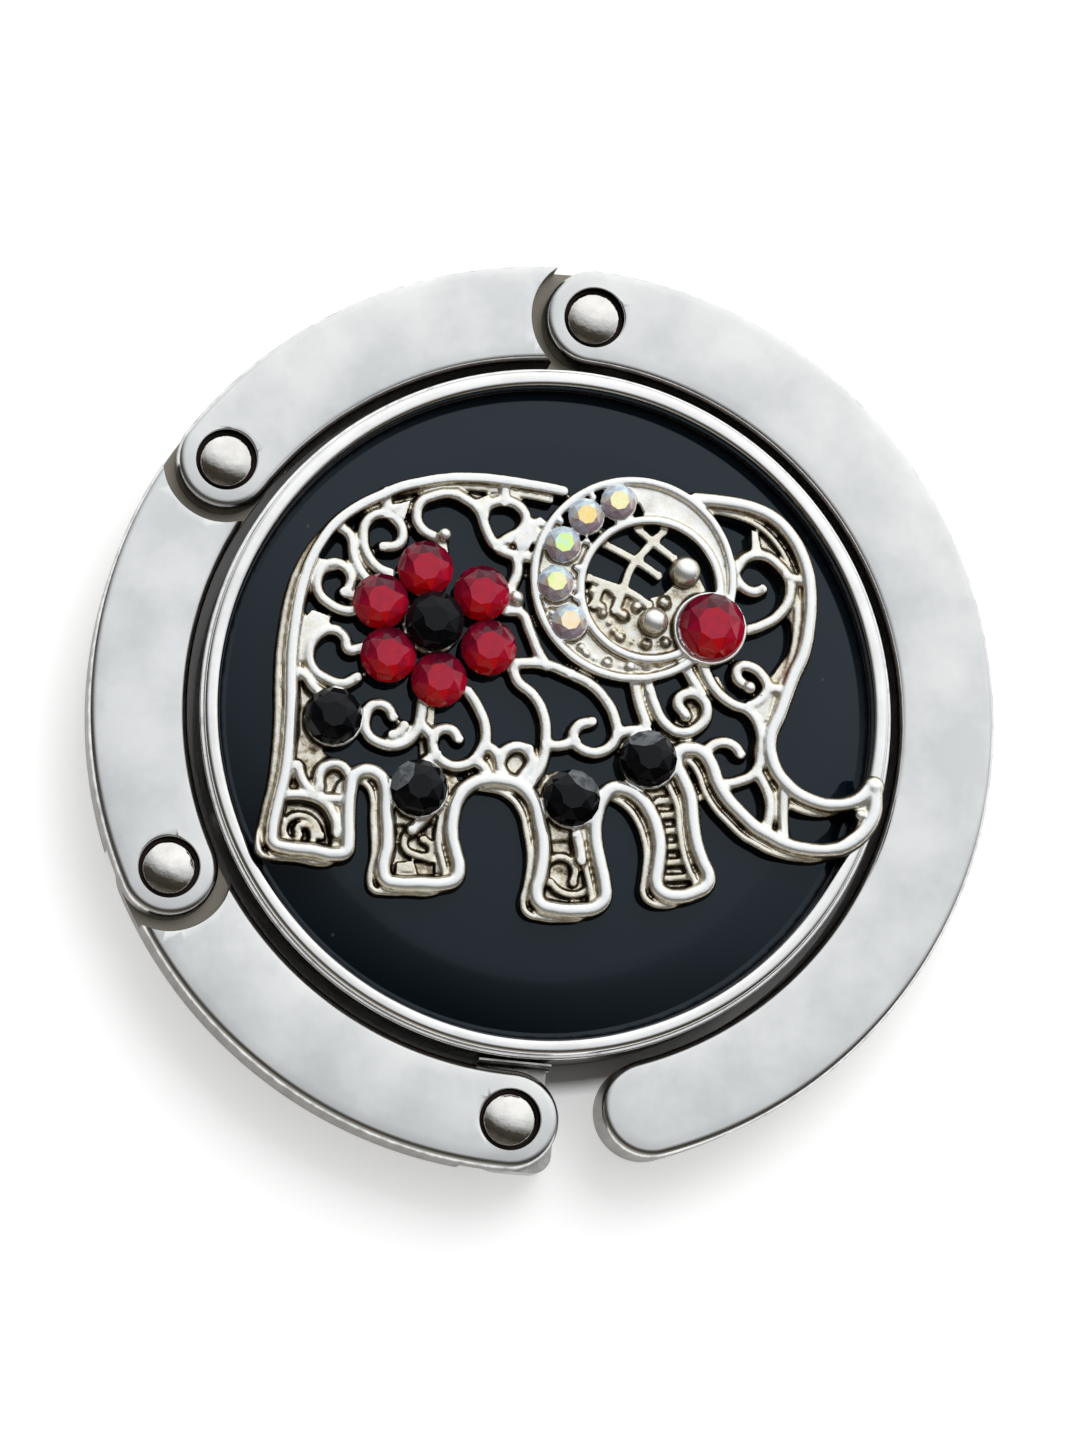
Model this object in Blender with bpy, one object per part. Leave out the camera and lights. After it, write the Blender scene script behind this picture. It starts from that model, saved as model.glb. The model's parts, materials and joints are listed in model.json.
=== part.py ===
"""Folding round handbag hook: a padded disc that rests on a table, ringed by four riveted links
that swivel down and unroll into a hook.

Frame: metres, +Z up, origin at the middle of the pad's underside, -Y towards the lug that joins
disc and links. The folded ring lies flat round the disc.
"""
import math

import bmesh
import bpy
from mathutils import Matrix, Vector
from mathutils.geometry import delaunay_2d_cdt

MM = 0.001

# Folded ring: four links of one section
ring_outer_radius = 22.5 * MM
link_width = 4.85 * MM
link_thickness = 4.0 * MM
link_bottom_z = 0.4 * MM
link_edge_bevel = 0.3 * MM

# Where the rivets and the free end sit round the ring, in degrees counter-clockwise from +X
lug_rivet_angle = 265.0
rivet_ab_angle = 203.0
rivet_bc_angle = 142.0
rivet_hook_angle = 83.0
hook_tip_angle = -75.0

# Half-lap joints
lap_clearance = 0.06 * MM
lap_shoulder_gap = 0.7 * MM
running_clearance = 0.05 * MM

# Rivets, headed at both ends
rivet_shank_radius = 0.95 * MM
rivet_head_radius = 1.3 * MM
rivet_rim_height = 0.35 * MM
rivet_dome_height = 0.6 * MM
rivet_head_gap = 0.2 * MM
rivet_head_sink = 0.85 * MM
rivet_tail_radius = 1.25 * MM
rivet_tail_height = 0.5 * MM

# Disc
ring_gap = 0.53 * MM
disc_web = 0.36 * MM
disc_bottom_bevel = 0.4 * MM
bezel_width = 0.97 * MM
bezel_ledge_width = 0.17 * MM
bezel_ledge_drop = 0.55 * MM
bezel_round = 0.25 * MM
glue_line = 0.04 * MM

# Black inlay, poured in the front recess and domed
inlay_edge_thickness = 0.6 * MM
inlay_dome_height = 0.5 * MM

# Rubber pad, glued in the back recess
disc_rim_width = 2.62 * MM
pad_thickness = 1.0 * MM
pad_recess_depth = 0.4 * MM
pad_edge_bevel = 0.2 * MM
pad_side_gap = 0.1 * MM

# Swivel: the lug's shank turns in the disc's wall and is held inside by a collar
shank_radius = 0.95 * MM
collar_radius = 1.35 * MM
collar_length = 0.9 * MM
washer_thickness = 0.25 * MM
washer_dish = 0.15 * MM
swivel_wall = 2.8 * MM
shank_end_margin = 0.2 * MM
pocket_margin = 0.25 * MM
pocket_side_margin = 0.2 * MM
pocket_roof_margin = 0.15 * MM
pocket_floor_margin = 0.21 * MM

# Lug
lug_neck_width = 3.56 * MM
lug_disc_gap = 0.1 * MM
lug_neck_depth = 0.28 * MM
lug_corner_round = 0.55 * MM
lug_tongue_inset = 0.04 * MM

# Cast elephant
ornament_margin = 1.67 * MM
ornament_thickness = 0.95 * MM
ornament_shift_x = -0.2 * MM
flower_boss_height = 0.5 * MM
mitre_limit_share = 0.6
bead_rise_share = 0.75
bead_side_share = 0.25
bead_shoulder_share = 0.7
bead_shoulder_rise_share = 0.58

# Flat-backed cut stones
petal_height = 1.0 * MM
flower_centre_height = 0.8 * MM
cheek_height = 1.15 * MM
ear_stone_height = 0.65 * MM
black_stone_height = 1.0 * MM
stone_girdle_share = 0.22
stone_shoulder_radius_share = 0.82
stone_shoulder_height_share = 0.66
stone_table_share = 0.5

# How finely round things are divided, and where a rounded form turns into an edge
ring_steps = 72
disc_steps = 72
ear_steps = 30
inlay_rings = 4
end_steps = 10
cutter_steps = 40
small_steps = 18
stone_steps = 12
bead_steps = 8
dome_steps = 4
bezel_round_steps = 3
wire_end_steps = 8
smooth_degrees = 35.0
flat_degrees = 3.0
cut_overrun = 0.3 * MM
merge_distance = 0.001 * MM

# Sizes that follow from those above
ring_inner_radius = ring_outer_radius - link_width
disc_radius = ring_inner_radius - ring_gap
pad_radius = disc_radius - disc_rim_width
disc_bottom_z = pad_thickness - pad_recess_depth
rivet_circle_radius = ring_outer_radius - link_width / 2
lap_end_radius = link_width / 2
shoulder_radius = lap_end_radius + lap_shoulder_gap
link_top_z = link_bottom_z + link_thickness
lap_plane_z = link_bottom_z + link_thickness / 2
pad_seat_z = pad_thickness + glue_line
swivel_axis_z = pad_seat_z + pocket_floor_margin + collar_radius
pocket_roof_z = swivel_axis_z + collar_radius + pocket_roof_margin
inlay_seat_z = pocket_roof_z + disc_web
inlay_bottom_z = inlay_seat_z + glue_line
disc_top_z = inlay_bottom_z + inlay_edge_thickness + inlay_dome_height
bezel_inner_radius = disc_radius - bezel_width
inlay_radius = bezel_inner_radius - glue_line
ornament_width = 2 * inlay_radius - ornament_margin
ornament_bottom_z = disc_top_z + glue_line
ornament_top_z = ornament_bottom_z + ornament_thickness
washer_start = disc_radius - swivel_wall - running_clearance - washer_thickness - washer_dish
collar_start = washer_start - running_clearance - collar_length
shank_start = collar_start - shank_end_margin
pocket_start = shank_start - pocket_margin

# The elephant was laid out over the photograph: points and plan sizes in its pixels, scaled by the
# ornament's width
ornament_width_px = 628.0
ornament_origin_px = (548.0, 708.0)
px = ornament_width / ornament_width_px
outline_wire_px = 10.2
curl_wire_px = 8.2
seat_rim_px = 2.0
petal_radius_px = 26.3
flower_centre_radius_px = 25.3
flower_seat_radius_px = 34.7
flower_boss_radius_px = 19.4
cheek_radius_px = 33.7
ear_stone_radius_px = 18.0
black_stone_radius_px = 29.0

outline_paths_px = {
    "back": [(565, 487), (548, 483), (510, 478), (470, 475), (440, 477), (400, 486), (360, 505),
             (330, 529), (310, 561), (298, 600), (291, 650), (290, 700), (287, 760), (279, 800),
             (272, 850)],
    "rear_foot": [(272, 850), (300, 853), (347, 855), (348, 820), (352, 780), (366, 773), (385, 785),
                  (386, 810), (388, 850), (385, 882)],
    "second_foot": [(385, 882), (420, 886), (455, 885), (460, 872), (453, 835), (458, 800),
                    (475, 786), (500, 782), (520, 787), (534, 803), (541, 828), (544, 850),
                    (541, 878), (538, 900)],
    "third_foot": [(538, 900), (552, 910), (580, 912), (602, 908), (607, 890), (600, 857),
                   (596, 835)],
    "front_arch": [(598, 820), (604, 803), (618, 787), (634, 793), (652, 811), (662, 842),
                   (660, 890)],
    "front_foot": [(660, 890), (678, 897), (700, 891), (712, 880), (703, 856), (696, 822),
                   (692, 790), (679, 758)],
    "trunk_under": [(679, 758), (685, 748), (702, 749), (715, 762), (724, 788), (745, 811),
                    (770, 831), (808, 847), (838, 847), (858, 839), (873, 825), (882, 807),
                    (883, 788)],
    "brow": [(697, 492), (725, 494), (755, 499), (780, 510), (797, 527), (808, 546), (815, 568),
             (817, 592), (813, 640), (799, 670), (785, 710), (774, 740), (777, 760), (790, 780),
             (815, 797), (845, 802), (868, 793), (882, 783)],
}

curl_paths_px = {
    "rump_loop": [(388, 573), (370, 560), (362, 540), (366, 521), (380, 513), (395, 519), (402, 540),
                  (388, 546)],
    "rump_tie": [(335, 524), (350, 544), (361, 575), (380, 590)],
    "rump_web": [(386, 487), (386, 514)],
    "back_s": [(441, 538), (427, 532), (416, 518), (420, 502), (433, 494), (458, 493), (473, 502),
               (484, 518), (491, 538), (505, 550), (524, 554), (545, 556)],
    "back_s_foot": [(441, 538), (443, 556)],
    "shoulder_loop": [(484, 516), (487, 504), (505, 498), (521, 504), (526, 518), (511, 536)],
    "shoulder_web": [(497, 545), (512, 534), (533, 522), (545, 519)],
    "shoulder_rise": [(505, 499), (505, 478)],
    "neck_hook": [(518, 556), (517, 580), (508, 598), (520, 603)],
    "neck_tie": [(505, 610), (522, 612), (532, 630), (540, 655), (545, 668)],
    "tail_curl": [(366, 604), (343, 594), (350, 580), (343, 568), (326, 566), (317, 580), (319, 598),
                  (335, 609), (366, 612)],
    "tail_web": [(297, 610), (331, 622), (348, 628)],
    "flank_curl": [(365, 648), (345, 655), (346, 640), (332, 632), (317, 638), (308, 655), (317, 677),
                   (334, 685), (350, 685), (362, 676)],
    "flank_web": [(291, 672), (312, 690), (322, 698)],
    "belly_curl": [(350, 722), (366, 715), (377, 708), (390, 713), (394, 727)],
    "belly_curl_back": [(366, 722), (368, 738), (382, 747), (399, 748), (413, 738), (420, 714),
                        (424, 700)],
    "middle_curl": [(468, 694), (478, 708), (486, 733), (481, 754), (466, 767), (449, 768),
                    (435, 756), (433, 741), (444, 732), (458, 738)],
    "middle_web": [(420, 728), (434, 742)],
    "lower_web": [(424, 765), (436, 757)],
    "middle_tie": [(474, 762), (488, 772), (484, 785)],
    "seat_curl": [(530, 749), (511, 750), (500, 764), (508, 778), (512, 784)],
    "seat_web": [(486, 748), (500, 762)],
    "seat_loop": [(528, 750), (533, 762), (524, 779), (520, 788)],
    "long_leaf": [(572, 673), (548, 664), (515, 665), (486, 668)],
    "long_leaf_side": [(515, 665), (527, 687), (544, 713), (547, 740), (542, 767), (532, 784)],
    "leaf_bar": [(547, 745), (568, 746), (577, 740)],
    "chest_curl": [(572, 673), (592, 683), (607, 698), (620, 725), (612, 746), (596, 753),
                   (579, 746), (577, 731), (593, 721)],
    "chest_bar": [(620, 733), (642, 728), (652, 735)],
    "chest_rise": [(636, 676), (645, 712), (652, 733)],
    "jaw_curl": [(652, 683), (657, 702), (670, 724), (685, 731), (702, 725), (711, 710), (704, 694),
                 (690, 691), (680, 701), (686, 710)],
    "jaw_tie": [(691, 668), (697, 678), (704, 692)],
    "cheek_fall": [(706, 660), (719, 686), (737, 701), (756, 712), (765, 735), (764, 757),
                   (748, 779), (724, 784)],
    "trunk_curl": [(776, 683), (770, 676), (757, 663), (745, 664), (743, 674), (750, 682)],
    "trunk_curl_back": [(776, 683), (768, 693), (753, 703)],
    "trunk_node": [(776, 683), (793, 686)],
    "mouth_hook": [(708, 752), (722, 741), (737, 743), (744, 752)],
    "brow_hook": [(730, 556), (741, 572), (752, 584), (767, 584)],
    "brow_curl": [(741, 563), (752, 551), (769, 548), (784, 557), (796, 575), (796, 590), (785, 609),
                  (766, 621), (750, 626)],
    "brow_bridge": [(792, 570), (815, 575)],
    "trunk_post": [(762, 760), (773, 792), (770, 828)],
    "trunk_post_tip": [(789, 782), (788, 838)],
    "rear_bar": [(281, 798), (310, 804), (332, 822)],
    "rear_hook": [(296, 770), (310, 795), (345, 803)],
    "rear_curl": [(351, 782), (335, 768), (321, 776), (318, 795)],
    "second_curl": [(430, 820), (408, 838), (407, 854), (428, 862)],
    "third_curl": [(545, 866), (560, 858), (577, 869), (575, 888)],
}

# Ladder rungs down the front leg
rung_left_px = 660
rung_right_px = 702
rungs_px = [806, 824, 844, 864, 882]

# The ear: two rings that touch on the cheek side, and a lattice in the inner one
ear_outer_px = (636, 576, 101)
ear_inner_px = (653, 586, 71)
ear_stone_ring_px = 80.0
ear_stone_first_angle = 101.6
ear_stone_pitch_shares = [1.01, 1.03, 1.12, 1.16]
ear_paths_px = {
    "lattice_upper": [(597, 535), (628, 550), (661, 571)],
    "lattice_lower": [(582, 571), (614, 582), (650, 600)],
    "lattice_bar": [(664, 518), (645, 548), (630, 575), (616, 612)],
    "lattice_arm": [(640, 522), (676, 552)],
    "lattice_side": [(690, 545), (668, 560), (661, 571)],
}

# Solid areas between the wires, which tie them together
floor_areas_px = {
    "ear_floor": [(588, 600), (640, 598), (680, 600), (690, 640), (655, 654), (610, 645)],
    "ear_top": [(655, 500), (700, 520), (722, 560), (700, 566), (680, 540), (650, 520)],
    "back_floor": [(384, 492), (440, 480), (522, 482), (520, 500), (440, 499), (392, 516)],
    "rear_foot_floor": [(288, 805), (345, 803), (345, 852), (276, 848)],
    "second_foot_floor": [(388, 828), (452, 826), (454, 882), (388, 882)],
    "third_foot_floor": [(545, 842), (598, 842), (603, 905), (543, 903)],
    "front_foot_floor": [(662, 800), (692, 796), (706, 884), (664, 890)],
    "thigh_floor": [(288, 740), (310, 740), (350, 778), (345, 803), (285, 798)],
    "shoulder_floor": [(528, 784), (560, 770), (600, 790), (596, 838), (545, 842), (534, 803)],
    "brow_floor": [(770, 520), (800, 545), (812, 590), (795, 578), (776, 550), (752, 546)],
    "cheek_floor": [(690, 655), (712, 655), (728, 692), (706, 700), (695, 682)],
    "chest_floor": [(640, 728), (684, 728), (690, 752), (684, 800), (662, 812), (634, 790)],
    "belly_floor": [(398, 772), (440, 765), (470, 790), (452, 830), (388, 830), (386, 790)],
    "flank_floor": [(296, 608), (330, 622), (318, 636), (300, 658), (290, 660)],
    "hip_floor": [(292, 690), (330, 690), (320, 745), (289, 745)],
    "trunk_floor": [(766, 800), (790, 796), (800, 842), (772, 832)],
}

petal_places_px = [(424, 570), (481, 594), (488, 649), (438, 682), (387, 658), (379, 604)]
flower_centre_px = (433, 624)
cheek_place_px = (715, 623)
black_stone_places_px = [(332, 721), (418, 792), (572, 800), (650, 759)]
silver_bead_px = [(688, 568, 15), (656, 619, 14), (444, 534, 7), (517, 597, 7), (881, 783, 10),
                  (754, 685, 7), (689, 714, 7)]


# Materials
def make_material(name, color, roughness, metallic):
    material = bpy.data.materials.new(name)
    material.use_nodes = True
    shader = material.node_tree.nodes["Principled BSDF"]
    shader.inputs["Base Color"].default_value = (*color, 1.0)
    shader.inputs["Roughness"].default_value = roughness
    shader.inputs["Metallic"].default_value = metallic
    return material


# Objects and meshes
def add_object(name, mesh, material, at=(0.0, 0.0, 0.0), parent=None):
    """Link a mesh as an object whose origin is at a world place, under an unturned parent."""
    piece = bpy.data.objects.new(name, mesh)
    bpy.context.scene.collection.objects.link(piece)
    piece.location = Vector(at) - (world_place(parent) if parent else Vector())
    piece.parent = parent
    if material:
        mesh.materials.clear()
        mesh.materials.append(material)
    return piece


def world_place(piece):
    place = Vector(piece.location)
    while piece.parent:
        piece = piece.parent
        place += piece.location
    return place


def mesh_from(bm, name):
    bmesh.ops.recalc_face_normals(bm, faces=bm.faces[:])
    mesh = bpy.data.meshes.new(name)
    bm.to_mesh(mesh)
    bm.free()
    mesh.shade_smooth()
    mesh.set_sharp_from_angle(angle=math.radians(smooth_degrees))
    return mesh


def turned(name, profile, steps, axis=(0.0, 0.0, 1.0), start=(1.0, 0.0, 0.0)):
    """Spin (radius, height) points, both ends of the chain closed, round an axis."""
    bm = bmesh.new()
    along = Vector(axis)
    out = Vector(start)
    verts = [bm.verts.new(out * radius + along * height) for radius, height in profile]
    edges = [bm.edges.new(pair) for pair in zip(verts, verts[1:])]
    if profile[0][0] > 0 and profile[-1][0] > 0:
        edges.append(bm.edges.new((verts[-1], verts[0])))
    bmesh.ops.spin(bm, geom=verts + edges, cent=(0, 0, 0), axis=along, angle=math.tau,
                   steps=steps, use_merge=True)
    bmesh.ops.remove_doubles(bm, verts=bm.verts[:], dist=merge_distance)
    return mesh_from(bm, name)


def prism(name, outline, bottom, top, top_bevel=0.0, bottom_bevel=0.0):
    """Stand a flat outline up between two heights, with its rims bevelled."""
    bm = bmesh.new()
    face = bm.faces.new([bm.verts.new((x, y, bottom)) for x, y in outline])
    raised = bmesh.ops.extrude_face_region(bm, geom=[face])["geom"]
    lifted = [part for part in raised if isinstance(part, bmesh.types.BMVert)]
    bmesh.ops.translate(bm, verts=lifted, vec=(0, 0, top - bottom))
    for height, width in ((top, top_bevel), (bottom, bottom_bevel)):
        if width > 0:
            rim = [edge for edge in bm.edges
                   if all(abs(vert.co.z - height) < merge_distance for vert in edge.verts)]
            bmesh.ops.bevel(bm, geom=rim, offset=width, offset_type="OFFSET", affect="EDGES",
                            segments=1, profile=0.5, material=-1)
    return mesh_from(bm, name)


def cut(target, name, mesh, at=(0.0, 0.0, 0.0), operation="DIFFERENCE"):
    """Cut one piece by a hidden solid, or join the solid to it."""
    cutter = add_object(name, mesh, None, at, target)
    cutter.hide_render = True
    cutter.display_type = "WIRE"
    change = target.modifiers.new(name, "BOOLEAN")
    change.operation = operation
    change.object = cutter
    change.solver = "EXACT"


def on_circle(radius, degrees, centre=(0.0, 0.0)):
    turn = math.radians(degrees)
    return centre[0] + radius * math.cos(turn), centre[1] + radius * math.sin(turn)


def arc(centre, radius, first, last, steps):
    return [on_circle(radius, first + (last - first) * step / steps, centre)
            for step in range(steps + 1)]


def local(points, origin):
    return [(x - origin[0], y - origin[1]) for x, y in points]


# Links
def link_outline(first_angle, last_angle):
    """Ring segment with a half-round end about each centre; the angles run clockwise."""
    span = first_angle - last_angle
    steps = max(2, round(ring_steps * span / 360.0))
    first = on_circle(rivet_circle_radius, first_angle)
    last = on_circle(rivet_circle_radius, last_angle)
    points = arc((0, 0), ring_outer_radius, last_angle, first_angle, steps)
    points += arc(first, lap_end_radius, first_angle, first_angle + 180.0, end_steps)[1:-1]
    points += arc((0, 0), ring_inner_radius, first_angle, last_angle, steps)
    points += arc(last, lap_end_radius, last_angle + 180.0, last_angle + 360.0, end_steps)[1:-1]
    return points


def drill_for_rivet(piece, place, upper):
    """Running hole, with the head's counterbore in an upper lap or the tail's in a lower one."""
    bore_radius = rivet_shank_radius + running_clearance
    bottom = link_bottom_z - cut_overrun
    top = link_top_z + cut_overrun
    bore = turned(piece.name + "_bore", [(0, bottom), (bore_radius, bottom), (bore_radius, top),
                                         (0, top)], small_steps)
    cut(piece, piece.name + ("_bore_upper" if upper else "_bore_lower"), bore, (*place, 0.0))
    if upper:
        radius = rivet_head_radius + rivet_head_gap
        bottom = link_top_z - rivet_head_sink - running_clearance
    else:
        radius = rivet_tail_radius + running_clearance
        top = link_bottom_z + rivet_tail_height + 2 * running_clearance
    sink = turned(piece.name + "_sink", [(0, bottom), (radius, bottom), (radius, top), (0, top)],
                  small_steps)
    cut(piece, piece.name + ("_sink_upper" if upper else "_sink_lower"), sink, (*place, 0.0))


def cut_lap(piece, place, upper):
    """Leave the upper or the lower half of an end, back to a shoulder round the rivet."""
    if upper:
        bottom = link_bottom_z - cut_overrun
        top = lap_plane_z + lap_clearance / 2
    else:
        bottom = lap_plane_z - lap_clearance / 2
        top = link_top_z + cut_overrun
    relief = turned(piece.name + "_relief", [(0, bottom), (shoulder_radius, bottom),
                                             (shoulder_radius, top), (0, top)], cutter_steps)
    cut(piece, piece.name + ("_relief_upper" if upper else "_relief_lower"), relief,
        (*place, 0.0))
    drill_for_rivet(piece, place, upper)


def make_link(name, first_angle, last_angle, parent, last_is_lap=True):
    """A link turns about its first rivet, where it lies on top, and carries the next below."""
    first = on_circle(rivet_circle_radius, first_angle)
    last = on_circle(rivet_circle_radius, last_angle)
    outline = local(link_outline(first_angle, last_angle), first)
    mesh = prism(name, outline, link_bottom_z, link_top_z, link_edge_bevel, link_edge_bevel)
    link = add_object(name, mesh, plated_zinc, (*first, 0.0), parent)
    cut_lap(link, first, upper=True)
    if last_is_lap:
        cut_lap(link, last, upper=False)
    return link


def make_rivet(name, angle, parent):
    tail_bottom = link_bottom_z + running_clearance
    tail_top = tail_bottom + rivet_tail_height
    head_bottom = link_top_z - rivet_head_sink
    rim_top = head_bottom + rivet_rim_height
    dome = []
    for step in range(1, dome_steps):
        turn = math.pi / 2 * step / dome_steps
        dome.append((rivet_head_radius * math.cos(turn), rim_top + rivet_dome_height * math.sin(turn)))
    dome.append((0, rim_top + rivet_dome_height))
    profile = [(0, tail_bottom), (rivet_tail_radius, tail_bottom), (rivet_tail_radius, tail_top),
               (rivet_shank_radius, tail_top), (rivet_shank_radius, head_bottom),
               (rivet_head_radius, head_bottom), (rivet_head_radius, rim_top)] + dome
    place = on_circle(rivet_circle_radius, angle)
    return add_object(name, turned(name, profile, small_steps), rivet_steel, (*place, 0.0), parent)


# Disc, inlay and pad
def make_disc():
    outer = disc_radius
    ledge = disc_radius - bezel_ledge_width
    inner = bezel_inner_radius
    ledge_z = disc_top_z - bezel_ledge_drop
    pad_recess = pad_radius + pad_side_gap
    crown_z = disc_top_z - bezel_round
    rim = arc((ledge - bezel_round, crown_z), bezel_round, 0, 90, bezel_round_steps)
    rim += arc((inner + bezel_round, crown_z), bezel_round, 90, 180, bezel_round_steps)
    profile = [(0, pad_seat_z), (pad_recess, pad_seat_z), (pad_recess, disc_bottom_z),
               (outer - disc_bottom_bevel, disc_bottom_z),
               (outer, disc_bottom_z + disc_bottom_bevel), (outer, ledge_z), (ledge, ledge_z)]
    profile += rim + [(inner, inlay_seat_z), (0, inlay_seat_z)]
    disc = add_object("disc_cup", turned("disc_cup", profile, disc_steps), plated_zinc)
    out = Vector((*on_circle(1.0, lug_rivet_angle), 0.0))
    side = out.cross(Vector((0, 0, 1)))
    near = pocket_start
    far = disc_radius - swivel_wall
    half = collar_radius + pocket_side_margin
    corners = [out * near - side * half, out * far - side * half, out * far + side * half,
               out * near + side * half]
    pocket = prism("swivel_pocket", [(spot.x, spot.y) for spot in corners],
                   disc_bottom_z - cut_overrun,
                   pocket_roof_z)
    cut(disc, "swivel_pocket", pocket)
    bore_radius = shank_radius + running_clearance
    start = far - cut_overrun
    end = disc_radius + cut_overrun
    bore = turned("swivel_bore", [(0, start), (bore_radius, start), (bore_radius, end), (0, end)],
                  small_steps, axis=out, start=(0, 0, 1))
    cut(disc, "swivel_bore", bore, (0.0, 0.0, swivel_axis_z))
    return disc


def make_inlay(disc):
    edge_z = inlay_bottom_z + inlay_edge_thickness
    profile = [(0, inlay_bottom_z), (inlay_radius, inlay_bottom_z), (inlay_radius, edge_z)]
    for ring in range(1, inlay_rings + 1):
        reach = 1 - ring / inlay_rings
        profile.append((inlay_radius * reach, edge_z + inlay_dome_height * (1 - reach ** 2)))
    mesh = turned("enamel_inlay", profile, disc_steps)
    return add_object("enamel_inlay", mesh, black_enamel, parent=disc)


def make_pad(disc):
    profile = [(0, 0), (pad_radius - pad_edge_bevel, 0), (pad_radius, pad_edge_bevel),
               (pad_radius, pad_thickness), (0, pad_thickness)]
    mesh = turned("table_pad", profile, disc_steps)
    return add_object("table_pad", mesh, black_rubber, parent=disc)


# Swivel
def along_swivel(mesh_name, profile):
    out = Vector((*on_circle(1.0, lug_rivet_angle), 0.0))
    return turned(mesh_name, profile, small_steps, axis=out, start=(0, 0, 1))


def make_lug(axis_empty):
    """Tongue under the first link, a thin neck beside the disc and a round shank into it."""
    turn = math.radians(lug_rivet_angle)
    out = Vector((math.cos(turn), math.sin(turn)))
    side = Vector((-out.y, out.x))
    middle = out * rivet_circle_radius
    half_neck = lug_neck_width / 2
    reach = lap_end_radius - lug_tongue_inset
    root = rivet_circle_radius - disc_radius - lug_disc_gap
    flank = math.sqrt(reach ** 2 - half_neck ** 2)
    shape = [(half_neck, -root), (half_neck, -flank), (reach, 0.0),
             (reach, reach - lug_corner_round), (reach - lug_corner_round, reach), (0.0, reach)]
    for step in range(1, end_steps):
        swing = (math.pi / 2 + math.asin(flank / reach)) * step / end_steps + math.pi / 2
        shape.append((reach * math.cos(swing), reach * math.sin(swing)))
    shape += [(-half_neck, -flank), (-half_neck, -root)]
    outline = [middle + side * across + out * along for across, along in shape]
    mesh = prism("swivel_lug", [(spot.x, spot.y) for spot in outline], link_bottom_z, link_top_z)
    centre = Vector((0.0, 0.0, swivel_axis_z))
    lug = add_object("swivel_lug", mesh, plated_zinc, parent=axis_empty)
    end = disc_radius + lug_disc_gap + lug_neck_depth / 2
    shank = along_swivel("lug_shank", [(0, shank_start), (shank_radius, shank_start),
                                       (shank_radius, end), (0, end)])
    cut(lug, "lug_shank", shank, centre, "UNION")
    near = -(root - lug_neck_depth)
    far = reach + cut_overrun
    wide = reach + cut_overrun
    corners = [middle + side * across + out * along
               for across, along in ((wide, near), (wide, far), (-wide, far), (-wide, near))]
    step_cut = prism("lug_step", [(spot.x, spot.y) for spot in corners],
                     lap_plane_z - lap_clearance / 2, link_top_z + cut_overrun)
    cut(lug, "lug_step", step_cut)
    drill_for_rivet(lug, on_circle(rivet_circle_radius, lug_rivet_angle), upper=False)
    return lug


def make_collar(axis_empty):
    bore = shank_radius + glue_line
    end = collar_start + collar_length
    mesh = along_swivel("swivel_collar", [(bore, collar_start), (collar_radius, collar_start),
                                          (collar_radius, end), (bore, end)])
    return add_object("swivel_collar", mesh, rivet_steel, (0, 0, swivel_axis_z), axis_empty)


def make_washer(axis_empty):
    """Dished spring washer that keeps the swivel stiff."""
    bore = shank_radius + running_clearance
    rim = washer_start + washer_dish
    mesh = along_swivel("swivel_washer", [(bore, washer_start), (collar_radius, rim),
                                          (collar_radius, rim + washer_thickness),
                                          (bore, washer_start + washer_thickness)])
    return add_object("swivel_washer", mesh, rivet_steel, (0, 0, swivel_axis_z), axis_empty)


# Elephant
def ornament_point(spot):
    return ((spot[0] - ornament_origin_px[0]) * px + ornament_shift_x,
            (ornament_origin_px[1] - spot[1]) * px)


def ear_stone_places():
    """Places in the ear's rim, each stone its own width and a little more past the last one."""
    turn = ear_stone_first_angle
    turns = [turn]
    for share in ear_stone_pitch_shares:
        turn += 2 * math.degrees(math.asin(ear_stone_radius_px * share / ear_stone_ring_px))
        turns.append(turn)
    x, y = ear_outer_px[:2]
    return [on_circle(ear_stone_ring_px, -turn, (x, y)) for turn in turns]


def strip_faces(path, width_px, faces, points):
    """Quads along a path, mitred at its points, with a round end at each tip."""
    half = width_px * px / 2
    spots = [Vector(ornament_point(spot)) for spot in path]
    rights = []
    lefts = []
    for index, spot in enumerate(spots):
        before = (spot - spots[index - 1]).normalized() if index else None
        after = (spots[index + 1] - spot).normalized() if index + 1 < len(spots) else None
        way = ((before or after) + (after or before)).normalized()
        normal = Vector((-way.y, way.x))
        lean = abs(normal.dot(Vector((-(after or before).y, (after or before).x))))
        offset = normal * (half / max(lean, mitre_limit_share))
        lefts.append(spot + offset)
        rights.append(spot - offset)
    for index in range(len(spots) - 1):
        corners = [lefts[index], rights[index], rights[index + 1], lefts[index + 1]]
        add_polygon(in_turn(corners), faces, points)
    for end, inner in ((0, 1), (-1, -2)):
        way = spots[end] - spots[inner]
        turn = math.degrees(math.atan2(way.y, way.x))
        add_polygon(arc(spots[end], half, turn, turn + 360.0, wire_end_steps)[:-1], faces, points)


def in_turn(corners):
    """Put four corners in order round their middle, so that a tight bend doesn't cross itself."""
    middle = sum(corners, Vector((0.0, 0.0))) / len(corners)
    return sorted(corners, key=lambda spot: math.atan2(spot.y - middle.y, spot.x - middle.x))


def add_polygon(outline, faces, points):
    """Add a flat shape, its corners put in counter-clockwise order."""
    spots = [Vector(spot) for spot in outline]
    area = sum(spot.cross(after) for spot, after in zip(spots, spots[1:] + spots[:1]))
    if area < 0:
        spots.reverse()
    first = len(points)
    points += spots
    faces.append(list(range(first, first + len(spots))))


def add_disc(spot, radius_px, steps, faces, points):
    add_polygon(arc(ornament_point(spot), radius_px * px, 0, 360, steps)[:-1], faces, points)


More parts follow.
